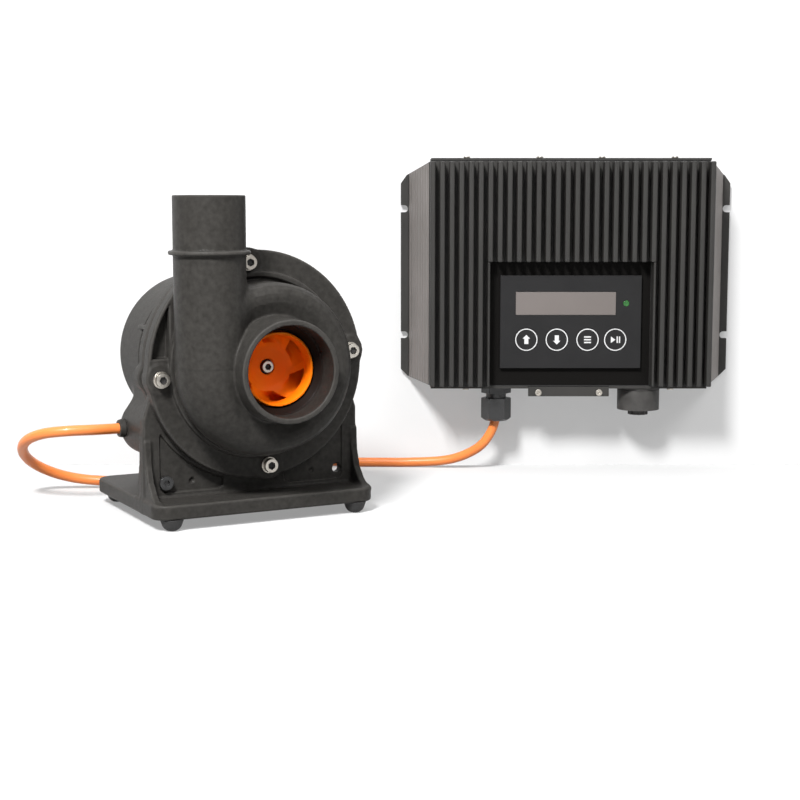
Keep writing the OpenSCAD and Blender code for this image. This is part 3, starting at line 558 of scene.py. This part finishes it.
def coil_point(t):
    """Turns in on the floor, climbs through half a turn and turns out again on top."""
    if t < COIL_TURNS:
        r = COIL_OUT_R - COIL_PITCH * t
    elif t < COIL_TURNS + 0.5:
        r = COIL_OUT_R - COIL_PITCH * COIL_TURNS - COIL_TUCK * math.sin(2 * math.pi * (t - COIL_TURNS))
    else:
        r = COIL_OUT_R - COIL_PITCH * (COIL_LOOPS - t)
    z = LEAD_LIE + COIL_PITCH * max(0, min(1, (t - COIL_TURNS) / 0.5))
    a = 2 * math.pi * t - math.pi / 2
    return Vector((COIL_AT[0] + r * math.cos(a), COIL_AT[1] + r * math.sin(a), z))


def pump_point(x, back, z):
    return turned((x, z - AXIS_H, -back), ON_SHAFT) / MM


def smooth_route(points, steps):
    """A smooth curve through given points."""
    points = [Vector(p) for p in points]
    last = len(points) - 1
    route = []
    for i in range(last):
        a, b = points[max(i - 1, 0)], points[i]
        c, d = points[i + 1], points[min(i + 2, last)]
        for s in range(steps):
            t = s / steps
            route.append(0.5 * (2 * b + (c - a) * t + (2 * a - 5 * b + 4 * c - d) * t * t
                                + (3 * b - a - 3 * c + d) * t ** 3))
    return route + [points[last]]


def lead_line():
    coil = [coil_point(i / COIL_STEPS) for i in range(int(COIL_LOOPS * COIL_STEPS) + 1)]
    start, end = coil[0], coil[-1]
    gx, gy, gz = GLAND_AT
    leaving = [pump_point(-56, LEAD_BACK, LEAD_H), pump_point(-74, LEAD_BACK, LEAD_H),
               pump_point(-92, LEAD_BACK, LEAD_H + 0.2)]
    droop = [(-275.5, -42.3, 58), (-293.5, -39, 55.5), (-307.5, -28.5, 49.5), (-315.5, -13, 40.5),
             (-316.2, 4.5, 30), (-309.5, 20.5, 20), (-296, 31.8, 12), (-278, 37.4, 7.4),
             (-256, start.y, 5.8), (-230, start.y, LEAD_LIE), (-207, start.y, LEAD_LIE), start]
    along = [end, (end.x, 105, end.z), (end.x + 5.5, 122.5, 12.4), (end.x + 19, 136.2, 8.8),
             (end.x + 38, 142, 5.7), (-72, 142.4, LEAD_FLOOR + 0.15), (-45, 142, LEAD_FLOOR),
             (-15, 141, LEAD_FLOOR + 0.25), (gx - 42, 136, 7), (gx - 24, 130, 13.5)]
    rising = [(gx - 11, gy + 3, gz - 53), (gx - 3, gy + 0.8, gz - 40), (gx, gy, gz - 27),
              (gx, gy, gz - 14), (gx, gy, gz + 7)]
    first = smooth_route(leaving + droop, ROUTE_STEPS)
    last = smooth_route(along + rising, ROUTE_STEPS)
    return [p * MM for p in first[:-1] + coil + last[1:]]


def make_lead():
    line = lead_line()
    curve = bpy.data.curves.new("lead", "CURVE")
    curve.dimensions = "3D"
    curve.bevel_depth = LEAD_D / 2 * MM
    curve.bevel_resolution = 5
    curve.use_fill_caps = True
    spline = curve.splines.new("POLY")
    spline.points.add(len(line) - 1)
    for point, spot in zip(spline.points, line):
        point.co = (*spot, 1)
    spline.use_smooth = True
    lead = bpy.data.objects.new("lead", curve)
    bpy.context.scene.collection.objects.link(lead)
    finish_piece(lead, SHEATH, "set", ("lead_pump", "lead_coil", "lead_controller"))


# Pump casting
FLANGE_R = 82.0
FLANGE_T = 10.0
SCREW_R = 73.5
SCREW_TURN = 5.7
SCREW_HOLE_R = 3.3
BOSS_R = 10.5
# Pocket in the flange's upper left, and the raised rim around the volute
POCKET_R, POCKET_RIGHT, POCKET_LOW, POCKET_FLOOR = 79.0, -66.0, 7.0, -7.0
RIM_IN, RIM_OUT, RIM_FRONT = 62.8, 67.0, 3.0
INLET_REACH = 59.95
INLET_R = 31.75
INLET_DEPTH = 18.0
# Opening behind the socket, which narrows to the impeller's eye
EYE_R = 26.0
EYE_GAP = 1.0
EYE_AT, EYE_SLOPE = 36.0, 0.7
EYE_BACK = 26.0
CHAMBER_R, CHAMBER_BACK, CHAMBER_FRONT = 45.0, 4.0, 29.0
BACK_R, BACK_FRONT = 47.6, 6.0
OUTLET_X = 44.0
OUTLET_FRONT = 22.0
OUTLET_R = 25.0
OUTLET_BORE_R = 21.3
OUTLET_START = 2.3
OUTLET_FLOOR = 2.0
OUTLET_RIM = 232.0 - AXIS_H
# Heights between which the blend of the outlet tube with the casing grows, and its sizes there
BLEND_UP = (4.0, 26.0)
BLEND_K = (0.8, 7.0)
RING_UP = 193.0 - AXIS_H
RING_OUT = 3.3
RING_HALF = 1.5
# The volute's passage: its angles, and its distance out, place forward and radius where it starts
VOL_START, VOL_SWEEP = 75.0, 258.0
VOL_LINE, VOL_FRONT, VOL_R = 50.0, 8.0, 9.0
VOL_POWER = 1.9
VOL_EASE = 0.1
WEB_BACK = -FLANGE_T - 8.0
MOTOR_FLANGE_BACK = WEB_BACK - 8.0
MOTOR_R = 60.5
MOTOR_BACK = 134.0
LOBE_AT = (-46.0, -54.0)
LOBE_R = 22.0
LOBE_FRONT, LOBE_BACK = -30.0, -112.0
BACK_WALL = 4.0
CAN_R = 56.5
NUB_TURNS = (158, 192)
NUB_SUNK, NUB_TALL, NUB_HALF = 3.0, 2.2, 1.8
NUB_BACK, NUB_FRONT = -92.0, -70.0
SEAM_BACK, SEAM_R = 84.0, 0.7
LEAD_HOLE_R = 6.05
LEAD_HOLE_LEFT, LEAD_HOLE_RIGHT = -100.0, -50.0
# The collar spreads a little towards its root
COLLAR_R = 35.95
COLLAR_ROOT = 20.0
SPREAD_SLOPE = 0.04
SPREAD_FROM, SPREAD_REACH = 56.0, 26.0


def screw_spots():
    return ring_points(SCREW_R, 4, SCREW_TURN)


def bosses(x, y, z, low, high):
    spots = [disc(x - sx, y - sy, z, BOSS_R, low, high, 1.0) for sx, sy in screw_spots()]
    return np.minimum.reduce(spots)


def snail(x, y, z):
    """The volute's growing passage, round at both ends."""
    along = np.mod(math.radians(VOL_START) - np.arctan2(y, x), 2 * math.pi) / math.radians(VOL_SWEEP)
    spare = 2 * math.pi / math.radians(VOL_SWEEP)
    share = np.where(along > (1 + spare) / 2, 0, np.minimum(along, 1))
    # Growth that eases off, so that the passage runs into the straight tube without a crease
    grown = merge((1 + VOL_EASE) * share, 1, VOL_EASE)
    line = VOL_LINE + (OUTLET_X - VOL_LINE) * grown
    front = VOL_FRONT + (OUTLET_FRONT - VOL_FRONT) * grown
    r = VOL_R + (OUTLET_R - VOL_R) * grown ** VOL_POWER
    a = math.radians(VOL_START) - share * math.radians(VOL_SWEEP)
    return np.sqrt((x - line * np.cos(a)) ** 2 + (y - line * np.sin(a)) ** 2 + (z - front) ** 2) - r


# Radius and height of the drum around the impeller
DRUM_PROFILE = [(0, -FLANGE_T), (60, -FLANGE_T), (60, 27), (59.4, 30), (58, 32.6), (55.6, 34.8),
                (52.6, 36.1), (50, 36.4), (46.5, 35.9), (42, 34.2), (36, 32), (0, 32)]


def casing_shape(x, y, z):
    """Flange, drum, volute, outlet tube and inlet collar as one moulding, with round edges and blends."""
    rho = np.hypot(x, y)
    tube = np.hypot(x + OUTLET_X, z - OUTLET_FRONT)
    flange = merge(disc(x, y, z, FLANGE_R, -FLANGE_T, 0, 1.2), bosses(x, y, z, -FLANGE_T, 0.8), 3.0)
    pocket = np.maximum.reduce([rho - POCKET_R, x - POCKET_RIGHT, POCKET_LOW - y, POCKET_FLOOR - z])
    flange = carve(flange, pocket, 1.4)
    rim = corner(slab(rho, RIM_IN, RIM_OUT), slab(z, -FLANGE_T, RIM_FRONT), 1.1)
    flange = merge(flange, rim, 1.6)
    drum = outline_distance(rho, z, DRUM_PROFILE)
    collar_r = COLLAR_R + SPREAD_SLOPE * np.clip(SPREAD_FROM - z, 0, SPREAD_REACH)
    collar = corner(rho - collar_r, slab(z, COLLAR_ROOT, INLET_REACH), 1.0)
    outlet = corner(tube - OUTLET_R, slab(y, OUTLET_START, OUTLET_RIM), 0.8)
    outlet_blend = np.interp(y, BLEND_UP, BLEND_K)
    whole = merge(merge(drum, snail(x, y, z), 3.0), outlet, outlet_blend)
    whole = merge(whole, collar, 2.4)
    whole = merge(whole, flange, 1.6)
    ring = corner(tube - OUTLET_R - RING_OUT, slab(y, RING_UP - RING_HALF, RING_UP + RING_HALF), 1.2)
    whole = merge(whole, ring, 0.8)
    socket = np.maximum(rho - INLET_R, INLET_REACH - INLET_DEPTH - z)
    funnel = np.clip(EYE_R + EYE_GAP + EYE_SLOPE * (z - EYE_AT), EYE_R + EYE_GAP, INLET_R)
    eye = np.maximum(rho - funnel, EYE_BACK - z)
    chamber = np.maximum(rho - CHAMBER_R, slab(z, CHAMBER_BACK, CHAMBER_FRONT))
    back = np.maximum(rho - BACK_R, z - BACK_FRONT)
    outlet_bore = np.maximum(tube - OUTLET_BORE_R, OUTLET_FLOOR - y)
    for tool in (socket, eye, chamber, back, outlet_bore):
        whole = carve(whole, tool, 0.9)
    for sx, sy in screw_spots():
        whole = carve(whole, np.hypot(x - sx, y - sy) - SCREW_HOLE_R, 0.4)
    return whole


def motor_shape(x, y, z):
    """Motor barrel with its flange, terminal lobe, two short ribs, seam and hole for the lead."""
    rho = np.hypot(x, y)
    barrel = corner(rho - MOTOR_R, slab(z, -MOTOR_BACK, MOTOR_FLANGE_BACK + 2), 6.0)
    flange = merge(disc(x, y, z, FLANGE_R - 2, MOTOR_FLANGE_BACK, WEB_BACK, 1.2),
                   bosses(x, y, z, MOTOR_FLANGE_BACK - 3, WEB_BACK), 3.0)
    lobe = disc(x - LOBE_AT[0], y - LOBE_AT[1], z, LOBE_R, LOBE_BACK, LOBE_FRONT, 4.0)
    whole = merge(merge(barrel, lobe, 16.0), flange, 3.0)
    for angle in NUB_TURNS:
        c, s = math.cos(math.radians(angle)), math.sin(math.radians(angle))
        nub = block(x * c + y * s, y * c - x * s, z, (MOTOR_R - NUB_SUNK, -NUB_HALF, NUB_BACK),
                    (MOTOR_R + NUB_TALL, NUB_HALF, NUB_FRONT), 0.8)
        whole = merge(whole, nub, 1.2)
    seam = np.hypot(rho - MOTOR_R, z + SEAM_BACK) - SEAM_R
    whole = carve(whole, seam, 0.6)
    whole = carve(whole, np.maximum(rho - CAN_R, BACK_WALL - MOTOR_BACK - z), 0.6)
    from_lead = np.hypot(y + AXIS_H - LEAD_H, z + LEAD_BACK)
    lead_hole = np.maximum(from_lead - LEAD_HOLE_R, slab(x, LEAD_HOLE_LEFT, LEAD_HOLE_RIGHT))
    return carve(whole, lead_hole, 0.4)


# Stand
BASE_HALF = 85.0
BASE_FRONT, BASE_BACK = -20.0, 121.0
BASE_LOW, BASE_TOP = 8.5, 19.0
WEB_HALF = 83.0
WEB_R = 79.0
MOTOR_OPENING_R = 64.0
RIB_T = 5.0
WINDOW_HALF, WINDOW_FRONT, WINDOW_BACK, WINDOW_R = 52.0, 32.0, 94.0, 14.0
# Sunk panels at both sides of the web, which keep clear of the casing's flange
PANEL_IN, PANEL_OUT, PANEL_LOW, PANEL_HIGH = 24.0, 71.0, 23.0, 66.0
PANEL_CLEAR = 85.0
PANEL_FLOOR = 11.6
HOLE_X, HOLE_UP, HOLE_R = 67.5, 30.0, 3.3
DIMPLE_X, DIMPLE_R = 47.0, 2.0
WEB_OUTLINE = [(-WEB_HALF, 9.5), (WEB_HALF, 9.5), (WEB_HALF, AXIS_H - 36), (71, AXIS_H), (-71, AXIS_H),
               (-WEB_HALF, AXIS_H - 36)]
RIB_OUTLINE = [(-14, 17), (28, 17), (17, 62.5), (9, 60), (7, 44), (3, 32), (-4, 24)]


def stand_shape(x, up, z):
    """Base plate with a window, upright web and two side ribs."""
    h = up + AXIS_H
    back = -z
    side = np.abs(x)
    from_shaft = np.hypot(x, up)
    plan = plan_box(x, back, (-BASE_HALF, BASE_FRONT), (BASE_HALF, BASE_BACK), 12)
    base = corner(plan, slab(h, BASE_LOW, BASE_TOP), 1.6)
    window = plan_box(x, back, (-WINDOW_HALF, WINDOW_FRONT), (WINDOW_HALF, WINDOW_BACK), WINDOW_R)
    base = carve(base, window, 1.4)
    flat = np.minimum(from_shaft - WEB_R, outline_distance(x, h, WEB_OUTLINE))
    web = corner(flat, slab(back, FLANGE_T, -WEB_BACK), 1.2)
    panel = plan_box(side, h, (PANEL_IN, PANEL_LOW), (PANEL_OUT, PANEL_HIGH), 4)
    panel = np.maximum.reduce([panel, PANEL_CLEAR - from_shaft, back - PANEL_FLOOR])
    web = carve(web, panel, 1.0)
    rib = corner(outline_distance(back, h, RIB_OUTLINE), slab(side, WEB_HALF - RIB_T, WEB_HALF), 1.0)
    whole = merge_all(3.0, base, web, rib)
    whole = carve(whole, from_shaft - MOTOR_OPENING_R, 0.6)
    hole = np.hypot(side - HOLE_X, h - HOLE_UP) - HOLE_R
    whole = carve(whole, np.maximum(hole, slab(back, FLANGE_T - 2, 2 - WEB_BACK)), 0.5)
    dimple = np.sqrt((side - DIMPLE_X) ** 2 + (h - HOLE_UP) ** 2 + (back - FLANGE_T - 1) ** 2) - DIMPLE_R
    return carve(whole, dimple, 0.5)


# Impeller
BLADES = 6
BLADE_START = 42.0
EYE_WALL = 2.6
BLADE_SWEEP = 2.2
BLADE_ROOT = 17.8
IMPELLER_R = 41.0
IMPELLER_BACK = 7.0
# Degrees behind a blade's front over which the gap opens, stays open and, before the next blade, is closed
GAP_OPENS, GAP_OPEN, GAP_CLOSED = 2.5, 12.0, 14.0
WELL_R, WELL_FLOOR = 5.4, 12.5
SHAFT_HOLE_R, SHAFT_HOLE_FRONT = 4.1, 10.2
# Radius and height of the blades' tops, which make a bowl, and of the floor between them
BOWL = [(0, 17.2), (7, 17.2), (11, 17.5), (14, 18.1), (17, 19.3), (19.5, 21), (21.5, 23.2), (23.2, 25.8),
        (24.8, 28), (29, 24.6), (IMPELLER_R, 21)]
FLOOR = [(0, 40), (BLADE_ROOT - 0.5, 19.5), (19, 16.8), (21, 13), (24, 10.4), (IMPELLER_R, 9.2)]
SHROUD_PROFILE = [(IMPELLER_R, 20), (IMPELLER_R, 22.5), (30, 25.6), (EYE_R, 28.4), (EYE_R, 38),
                  (EYE_R - 1.6, 38), (EYE_R - EYE_WALL, 27.8), (28.5, 23.6)]


def impeller_shape(x, y, z):
    """Blades whose backs ramp down into the gap before the next one, under a ring-shaped shroud."""
    rho = np.hypot(x, y)
    bowl = np.interp(rho, *zip(*BOWL))
    floor = np.minimum(np.interp(rho, *zip(*FLOOR)), bowl)
    out = np.maximum(rho - BLADE_ROOT, 0)
    pitch = 360 / BLADES
    past = np.mod(BLADE_START + BLADE_SWEEP * out - np.degrees(np.arctan2(y, x)), pitch)
    ramp = np.clip((pitch - GAP_CLOSED - past) / (pitch - GAP_CLOSED - GAP_OPEN), 0, 1)
    gap = np.clip(past / GAP_OPENS, 0, 1) * ramp
    top = bowl - (bowl - floor) * gap
    body = np.maximum.reduce([0.5 * (z - top), rho - IMPELLER_R, IMPELLER_BACK - z])
    whole = merge(body, outline_distance(rho, z, SHROUD_PROFILE), 0.8)
    whole = carve(whole, np.maximum(rho - WELL_R, WELL_FLOOR - z), 0.6)
    return carve(whole, np.maximum(rho - SHAFT_HOLE_R, z - SHAFT_HOLE_FRONT), 0.3)


# Feet and pump pieces
FOOT_X = 71.0
FOOT_FRONT = 12.0
FOOT_BACK = 111.0
FOOT_R = 5.5
FOOT_H = 8.45
FOOT_SPREAD = 3.0
# Grid steps of the moulded pieces
FEET_STEP = 0.9
CASING_STEP = 1.2
MOTOR_STEP = 1.5
STAND_STEP = 1.2
IMPELLER_STEP = 0.7


def feet_shape(x, y, z):
    """Four tapered feet, rounded underneath; here y is up from the shaft and z is forward."""
    up = y + AXIS_H
    whole = np.full_like(x, 99.0)
    for across in (-FOOT_X, FOOT_X):
        for ahead in (FOOT_FRONT, -FOOT_BACK):
            rho = np.hypot(x - across, z - ahead)
            foot = corner(rho - FOOT_R - FOOT_SPREAD * up / FOOT_H, -up, 4.0)
            whole = np.minimum(whole, np.maximum(foot, up - FOOT_H))
    return whole


def make_pump():
    cast("feet", feet_shape, (-82, -1.5 - AXIS_H, -122), (82, FOOT_H + 1.5 - AXIS_H, 23), FEET_STEP,
         ON_SHAFT, DARK_RUBBER_AND_SHADE, "set", replaces=("rubber_feet",))
    cast("casing", casing_shape, (-88, -88, -13), (88, 123, 63), CASING_STEP, ON_SHAFT, CASING, "set",
         slot="charcoal_plastic", replaces=("volute_casing",))
    cast("motor_shell", motor_shape, (-86, -88, -138), (86, 88, -15), MOTOR_STEP, ON_SHAFT, CHARCOAL, "set",
         slot="charcoal_plastic", replaces=("motor_housing",))
    cast("stand", stand_shape, (-88, 5 - AXIS_H, -124), (88, 82, 24), STAND_STEP, ON_SHAFT, CHARCOAL, "set",
         slot="charcoal_plastic", replaces=("stand_bracket",))
    cast("impeller_moulding", impeller_shape, (-43, -43, 4), (43, 43, 40), IMPELLER_STEP, ON_SHAFT, ORANGE,
         "rotor", slot="orange_plastic", replaces=("impeller",))


# Sizes of the dark discs of painted shade at the sockets' floors: their thickness, and the height and
# radius of each kind
SOCKET_T = 0.6
CASING_SOCKET_Z, CASING_SOCKET_R = 4.3, 2.7
IMPELLER_SOCKET_Z, IMPELLER_SOCKET_R = 16.2, 2.1


def make_socket_shades():
    """A dark disc of painted shade at the floor of each screw's socket."""
    spots = [(f"screw_socket_shade_{i}", (x, y, CASING_SOCKET_Z), CASING_SOCKET_R, "set")
             for i, (x, y) in enumerate(screw_spots())]
    spots.append(("impeller_socket_shade", (0, 0, IMPELLER_SOCKET_Z), IMPELLER_SOCKET_R, "rotor"))
    for name, (x, y, z), r, body in spots:
        hexagon = ring_points(r, 6)
        points = [turned((x + a, y + b, z + d), ON_SHAFT) for d in (0, SOCKET_T) for a, b in hexagon]
        faces = [[5, 4, 3, 2, 1, 0], [6, 7, 8, 9, 10, 11]]
        faces += [[k, (k + 1) % 6, 6 + (k + 1) % 6, 6 + k] for k in range(6)]
        # Painted shade: a dark hexagon, in the dark rubber material, where the socket's floor lies in shade
        mesh_piece(name, points, faces, DARK_RUBBER_AND_SHADE, body)


# Controller
PANEL_FRONT = 53.0
KEY_FACE = PANEL_FRONT + 0.2
KEY_R = 9.5
KEY_Z = 38.4
KEYS = {"up_key": -36.1, "down_key": -10.8, "menu_key": 14.8, "run_key": 37.8}
INK_T = 0.12
INK_SUNK = 0.05
RING_GAP, RING_W = 0.25, 0.8
FIN_W = 233.0
BODY_W = 268.0
BODY_H = 185.0
SIDE_D = 6.0
FRONT_D = 50.0
SIDE_RIBS = 8
# Heights of one rib's points, the margins along the slope and at the ends, and how deep the plate sits
RIB_HEIGHTS = (0.12, 0.55, 0.55, 0.12)
RIB_MARGIN = 0.04
RIB_END = 0.4
RIB_SUNK = 0.3
TOP_FALL = 10 / 19
LOW_RISE = 3 / 18


def ink(name, outline, body):
    return prism(name, outline, KEY_FACE - INK_SUNK, KEY_FACE + INK_T, ON_CTRL, WHITE_INK, body)


def ring_faces(name, cx, cz, outer, inner, body, steps=64):
    """A flat printed ring on a key."""
    points = []
    for d in (KEY_FACE - INK_SUNK, KEY_FACE + INK_T):
        for r in (outer, inner):
            points += [turned((cx + x, d, cz + z), ON_CTRL) for x, z in ring_points(r, steps)]
    faces = []
    for a, b in ((0, 1), (1, 3), (3, 2), (2, 0)):
        for k in range(steps):
            n = (k + 1) % steps
            faces.append([a * steps + k, b * steps + k, b * steps + n, a * steps + n])
    return mesh_piece(name, points, faces, WHITE_INK, body)


def arrow(cx, cz, way):
    half_head, half_stem, top, neck, foot = 3.1, 1.7, 4.0, 0.9, -3.6
    shape = [(0, top), (-half_head, neck), (-half_stem, neck), (-half_stem, foot), (half_stem, foot),
             (half_stem, neck), (half_head, neck)]
    return [(cx + x, cz + way * z) for x, z in shape]


def rectangle(x0, x1, z0, z1):
    return [(x0, z0), (x1, z0), (x1, z1), (x0, z1)]


def make_keys():
    for body, x in KEYS.items():
        ring_faces(body + "_ring", x, KEY_Z, KEY_R - RING_GAP, KEY_R - RING_GAP - RING_W, body)
    ink("up_arrow", arrow(KEYS["up_key"], KEY_Z, 1), "up_key")
    ink("down_arrow", arrow(KEYS["down_key"], KEY_Z, -1), "down_key")
    menu = KEYS["menu_key"]
    half_bar, half_line, line_pitch = 2.9, 0.55, 2.3
    for i in range(3):
        middle = KEY_Z + line_pitch * (i - 1)
        line = rectangle(menu - half_bar, menu + half_bar, middle - half_line, middle + half_line)
        ink(f"menu_bar_{i}", line, "menu_key")
    run = KEYS["run_key"]
    back, tip, half = run - 3.6, run + 0.2, 2.7
    ink("run_wedge", [(back, KEY_Z - half), (tip, KEY_Z), (back, KEY_Z + half)], "run_key")
    bar_gap, bar_pitch, bar_w = 1.2, 1.9, 1.05
    for i in range(2):
        left = run + bar_gap + bar_pitch * i
        ink(f"run_bar_{i}", rectangle(left, left + bar_w, KEY_Z - half, KEY_Z + half), "run_key")


def side_outline():
    """Outline, in x and depth, of the ribbed plate on the right sloping side."""
    out = (BODY_W - FIN_W) / 2
    front = FRONT_D - SIDE_D
    slant = math.hypot(out, front)

    def on_slope(share, height):
        """A point along the slope, raised off it."""
        x = BODY_W / 2 - out * share + front / slant * height
        return x, SIDE_D + front * share + out / slant * height

    marks = len(RIB_HEIGHTS)
    steps = SIDE_RIBS * marks
    outline = []
    for i in range(steps + 1):
        share = RIB_MARGIN + (1 - 2 * RIB_MARGIN) * i / steps
        outline.append(on_slope(share, RIB_HEIGHTS[i % marks]))
    return outline + [on_slope(1 - RIB_MARGIN, -RIB_SUNK), on_slope(RIB_MARGIN, -RIB_SUNK)]


def make_side_ribs():
    """Fine ribs along the two sloping sides of the heatsink, over a paler plate on each side."""
    outline = side_outline()
    count = len(outline)
    ring = range(count)
    faces = [[k, (k + 1) % count, count + (k + 1) % count, count + k] for k in ring]
    faces += [[count - 1 - k for k in ring], [count + k for k in ring]]
    for side, label in ((-1, "left"), (1, "right")):
        points = []
        for end, fall in ((RIB_END, LOW_RISE), (BODY_H - RIB_END, -TOP_FALL)):
            for x, d in outline:
                points.append(turned((side * x, d, end + fall * max(0, x - FIN_W / 2)), ON_CTRL))
        outward = [face[::-1] for face in faces] if side > 0 else faces
        mesh_piece("side_ribs_" + label, points, outward, ANODISED_SIDE, "set", slot="anodised")


def dress(node, material, bevel_mm=0.0, segments=2):
    piece = nodes[node]
    piece.data.materials.clear()
    piece.data.materials.append(material)
    if bevel_mm:
        soften_edges(piece, bevel_mm, segments)


def dress_solids():
    for node in ("casing_screws", "impeller_screw", "service_screws", "plate_screws"):
        dress(node, STEEL, 0.35)
    dress("stand_screw", NYLON, 0.35)
    dress("impeller_washer", DARK_RUBBER_AND_SHADE, 0.2)
    for node in ("shaft", "foot_screws"):
        dress(node, STEEL, 0.2)
    for node in ("casing_seal", "top_gasket", "bottom_gasket", "gland_seal", "service_gasket"):
        dress(node, DARK_RUBBER_AND_SHADE)
    dress("lead_bush", CHARCOAL, 0.6, 3)
    dress("heatsink_housing", HOUSING, 0.4)
    dress("heatsink_fins", FIN_METAL, 0.9, 3)
    for node in ("top_plate", "bottom_plate"):
        dress(node, ANODISED, 0.4)
    dress("service_cover", ANODISED, 1.2, 4)
    dress("keypad_panel", FILM, 0.4)
    for node in ("key_up", "key_down", "key_menu", "key_run"):
        dress(node, FILM, 0.15)
    dress("display_window", DISPLAY, 0.2)
    dress("status_lamp", LAMP, 0.4, 3)
    dress("gland_nut", NYLON, 1.4, 4)
    for node in ("gland_body", "gland_locknut", "coil_tie"):
        dress(node, NYLON, 0.6, 3)
    for node in ("mains_inlet", "inlet_cap"):
        dress(node, CAP_GREY, 0.5, 3)
    dress("inlet_pins", BRASS, 0.2)
    for node in ("control_board", "power_board"):
        dress(node, BOARD)
    dress("display_module", BEIGE)
    dress("capacitors", BLUE_SLEEVE, 0.8)
    for node in ("inductor", "stator_windings"):
        dress(node, COPPER)
    for node in ("rotor_magnet", "stator_core"):
        dress(node, IRON)
    for node in ("front_bearing", "rear_bearing"):
        dress(node, CERAMIC)
    dress("rotor_can", CHARCOAL)
    dress("potting_resin", RESIN)


# Stage and light
def plane(name, corners, material):
    mesh = bpy.data.meshes.new(name)
    mesh.from_pydata(corners, [], [(0, 1, 2, 3)])
    mesh.materials.append(material)
    piece = bpy.data.objects.new(name, mesh)
    bpy.context.scene.collection.objects.link(piece)


def stage_material(name):
    """A pale matt stage that keeps shadows, lifted to white where the camera or a reflection sees it.

    It throws little of its light back on the pieces, so that they stay darker towards their edges.
    The glow grows to full white away from the pieces, where the lamps no longer reach. Its back is clear.
    """
    material = bpy.data.materials.new(name)
    material.use_nodes = True
    tree = material.node_tree
    tree.nodes.clear()
    output = tree.nodes.new("ShaderNodeOutputMaterial")
    matt = tree.nodes.new("ShaderNodeBsdfDiffuse")
    light = tree.nodes.new("ShaderNodeEmission")
    seen = seen_by(tree, "Is Camera Ray", "Is Glossy Ray")
    tree.links.new(remap(tree, seen, STAGE_BOUNCE, STAGE_SEEN), matt.inputs["Color"])
    place = tree.nodes.new("ShaderNodeTexCoord")
    distance = tree.nodes.new("ShaderNodeVectorMath")
    distance.operation = "LENGTH"
    tree.links.new(place.outputs["Object"], distance.inputs[0])
    glow = remap(tree, distance.outputs["Value"], STAGE_GLOW, 1.0, GLOW_NEAR, GLOW_FAR)
    level = tree.nodes.new("ShaderNodeMath")
    level.operation = "MULTIPLY"
    tree.links.new(seen, level.inputs[0])
    tree.links.new(glow, level.inputs[1])
    tree.links.new(level.outputs["Value"], light.inputs["Strength"])
    both = tree.nodes.new("ShaderNodeAddShader")
    tree.links.new(matt.outputs["BSDF"], both.inputs[0])
    tree.links.new(light.outputs["Emission"], both.inputs[1])
    geometry = tree.nodes.new("ShaderNodeNewGeometry")
    clear = tree.nodes.new("ShaderNodeBsdfTransparent")
    mix = tree.nodes.new("ShaderNodeMixShader")
    tree.links.new(geometry.outputs["Backfacing"], mix.inputs["Fac"])
    tree.links.new(both.outputs["Shader"], mix.inputs[1])
    tree.links.new(clear.outputs["BSDF"], mix.inputs[2])
    tree.links.new(mix.outputs["Shader"], output.inputs["Surface"])
    return material


def area_light(name, place, target, size, power):
    data = bpy.data.lights.new(name, "AREA")
    data.shape = "DISK"
    data.size = size
    data.energy = power
    lamp = bpy.data.objects.new(name, data)
    lamp.location = place
    lamp.rotation_euler = (Vector(target) - Vector(place)).to_track_quat("-Z", "Y").to_euler()
    bpy.context.scene.collection.objects.link(lamp)


def make_stage():
    wall_y = cad_high.y + 0.0005
    half = STAGE_HALF
    plane("floor", [(-half, -half, 0), (half, -half, 0), (half, half, 0), (-half, half, 0)],
          stage_material("pale_floor"))
    plane("wall", [(-half, wall_y, 0), (half, wall_y, 0), (half, wall_y, half), (-half, wall_y, half)],
          stage_material("pale_wall"))
    middle = (cad_low + cad_high) / 2
    area_light("key_light", (-0.50, -1.40, 1.45), middle, 0.4, 66)
    area_light("fill_light", (0.9, -1.25, 1.50), middle, 0.8, 14)
    area_light("top_light", (0.1, -0.3, 1.9), middle, 1.0, 4)
    world = bpy.data.worlds.new("studio")
    world.use_nodes = True
    bpy.context.scene.world = world
    tree = world.node_tree
    background = tree.nodes["Background"]
    background.inputs["Color"].default_value = (1, 1, 1, 1)
    seen = seen_by(tree, "Is Camera Ray", "Is Transmission Ray")
    tree.links.new(remap(tree, seen, WORLD_LIGHT, 1.0), background.inputs["Strength"])
    bpy.context.scene.view_settings.view_transform = "Standard"


make_camera()
make_lead()
make_stage()
make_pump()
make_socket_shades()
make_keys()
make_side_ribs()
dress_solids()
